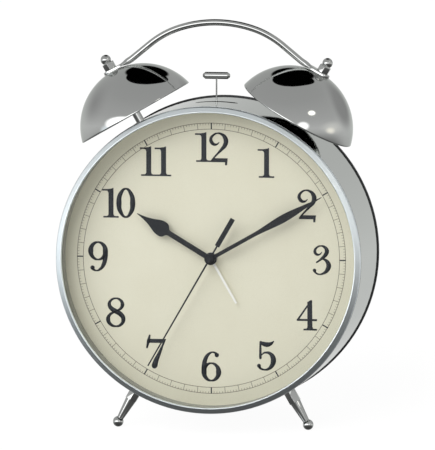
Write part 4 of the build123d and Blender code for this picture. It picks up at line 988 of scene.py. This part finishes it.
def window(studio, across, rise, width, height, edge, strength, colour):
    """Adds a soft oval to the surround: its middle and half sizes are in degrees."""
    middle = out_from_camera(across, rise)
    level = above.cross(middle).normalized()
    oval = Matrix((level, middle.cross(level), middle)).transposed().to_euler()
    size = (math.sin(math.radians(width)), math.sin(math.radians(height)), 1.6)
    turned = add_node(tree, "ShaderNodeMapping", {
        "Vector": way, "Location": middle, "Rotation": oval, "Scale": size}, vector_type="TEXTURE")
    inside = add_node(tree, "ShaderNodeTexGradient", {0: turned.outputs[0]}, gradient_type="SPHERICAL")
    cover = add_node(tree, "ShaderNodeMapRange", {
        "Value": inside.outputs["Fac"], "From Min": 0.0, "From Max": edge}, interpolation_type="SMOOTHSTEP")
    glow = [strength * c for c in linear(colour)[:3]] + [1]
    shown = add_node(tree, "ShaderNodeMix", {
        "Factor": cover.outputs["Result"], "A": studio, "B": glow}, data_type="RGBA")
    return shown.outputs["Result"]


# Each row: degrees to the right and up, half width and half height, softness, strength, colour.
windows = [
    (-118, 24, 38, 30, 1.0, 0.46, "#FFFFFF"), (128, 20, 34, 26, 0.6, 0.43, "#FFFFFF"),
    (84, 1, 34, 11, 0.9, 1.05, "#F8F8F4"), (80, -3, 15, 6, 0.9, 1.5, "#FFFBF0"),
    (-70, -8, 20, 12, 0.6, 1.45, "#F2FAFF"), (-34, 4, 46, 14, 0.3, 2.8, "#FFFFFF"),
    (24, 4, 14, 9, 0.5, 2.1, "#FFFFFF"), (44, 26, 8.5, 5, 0.6, 3.6, "#FFFDF4"),
    (-166, 77, 16.3, 20.6, 0.06, 1, "#010101"), (142, 75, 14.5, 22.8, 0.06, 1, "#010101"),
    (175, 60, 19.9, 29, 0.12, 1, "#010101")]
for shape in windows:
    studio = window(studio, *shape)
TWO_MIRRORS = 2.5
WHITE_SHEETS = (2.1, 2.1, 2.1, 1)
EVEN_GREY = (0.2, 0.205, 0.21, 1)
often = add_node(tree, "ShaderNodeMath", {
    0: ray["Glossy Depth"], 1: TWO_MIRRORS}, operation="GREATER_THAN")
mirrored = add_node(tree, "ShaderNodeMix", {
    "Factor": often.outputs["Value"], "A": studio, "B": WHITE_SHEETS}, data_type="RGBA")
matt = add_node(tree, "ShaderNodeMix", {
    "Factor": ray["Is Glossy Ray"], "A": EVEN_GREY, "B": mirrored.outputs["Result"]}, data_type="RGBA")
seen = add_node(tree, "ShaderNodeMix", {
    "Factor": ray["Is Camera Ray"], "A": matt.outputs["Result"], "B": (1, 1, 1, 1)}, data_type="RGBA")
tree.links.new(seen.outputs["Result"], sky.inputs["Color"])
print("surround with", len(windows), "windows")

# %% [markdown]
# A large soft lamp at the upper left is the key. It shades the dial along its left and top
# edge, because the bezel stands in front of it. A weak fill from the right keeps the far
# side open, and a third lamp shows the black back cover. The lamps light the matt pieces
# only: the plate already mirrors the windows.
# %% Lamps
def soft_box(name, across, rise, distance, size, power, colour="#FFFFFF"):
    way_out = out_from_camera(across, rise)
    lamp = bpy.data.lights.new(name, "AREA")
    lamp.size = size
    lamp.energy = power
    lamp.color = linear(colour)[:3]
    box = bpy.data.objects.new(name, lamp)
    aimed = way_out.to_track_quat("Z", "Y").to_matrix().to_4x4()
    box.matrix_world = Matrix.Translation(origin + way_out * distance) @ aimed
    box.visible_camera = False
    box.visible_glossy = False
    scene.collection.objects.link(box)
    print("lamp", name, power, "W")


soft_box("key", -41, 36, 1.4, 1.5, 25)
soft_box("fill", 45, 8, 1.6, 1.2, 2, "#FFF8EC")
soft_box("back", 205, 28, 1.5, 1.2, 9)

# %% [markdown]
# Last, the view transform is set to Standard. The scene's other view settings stay at their defaults.
# %% View transform
scene.view_settings.view_transform = "Standard"
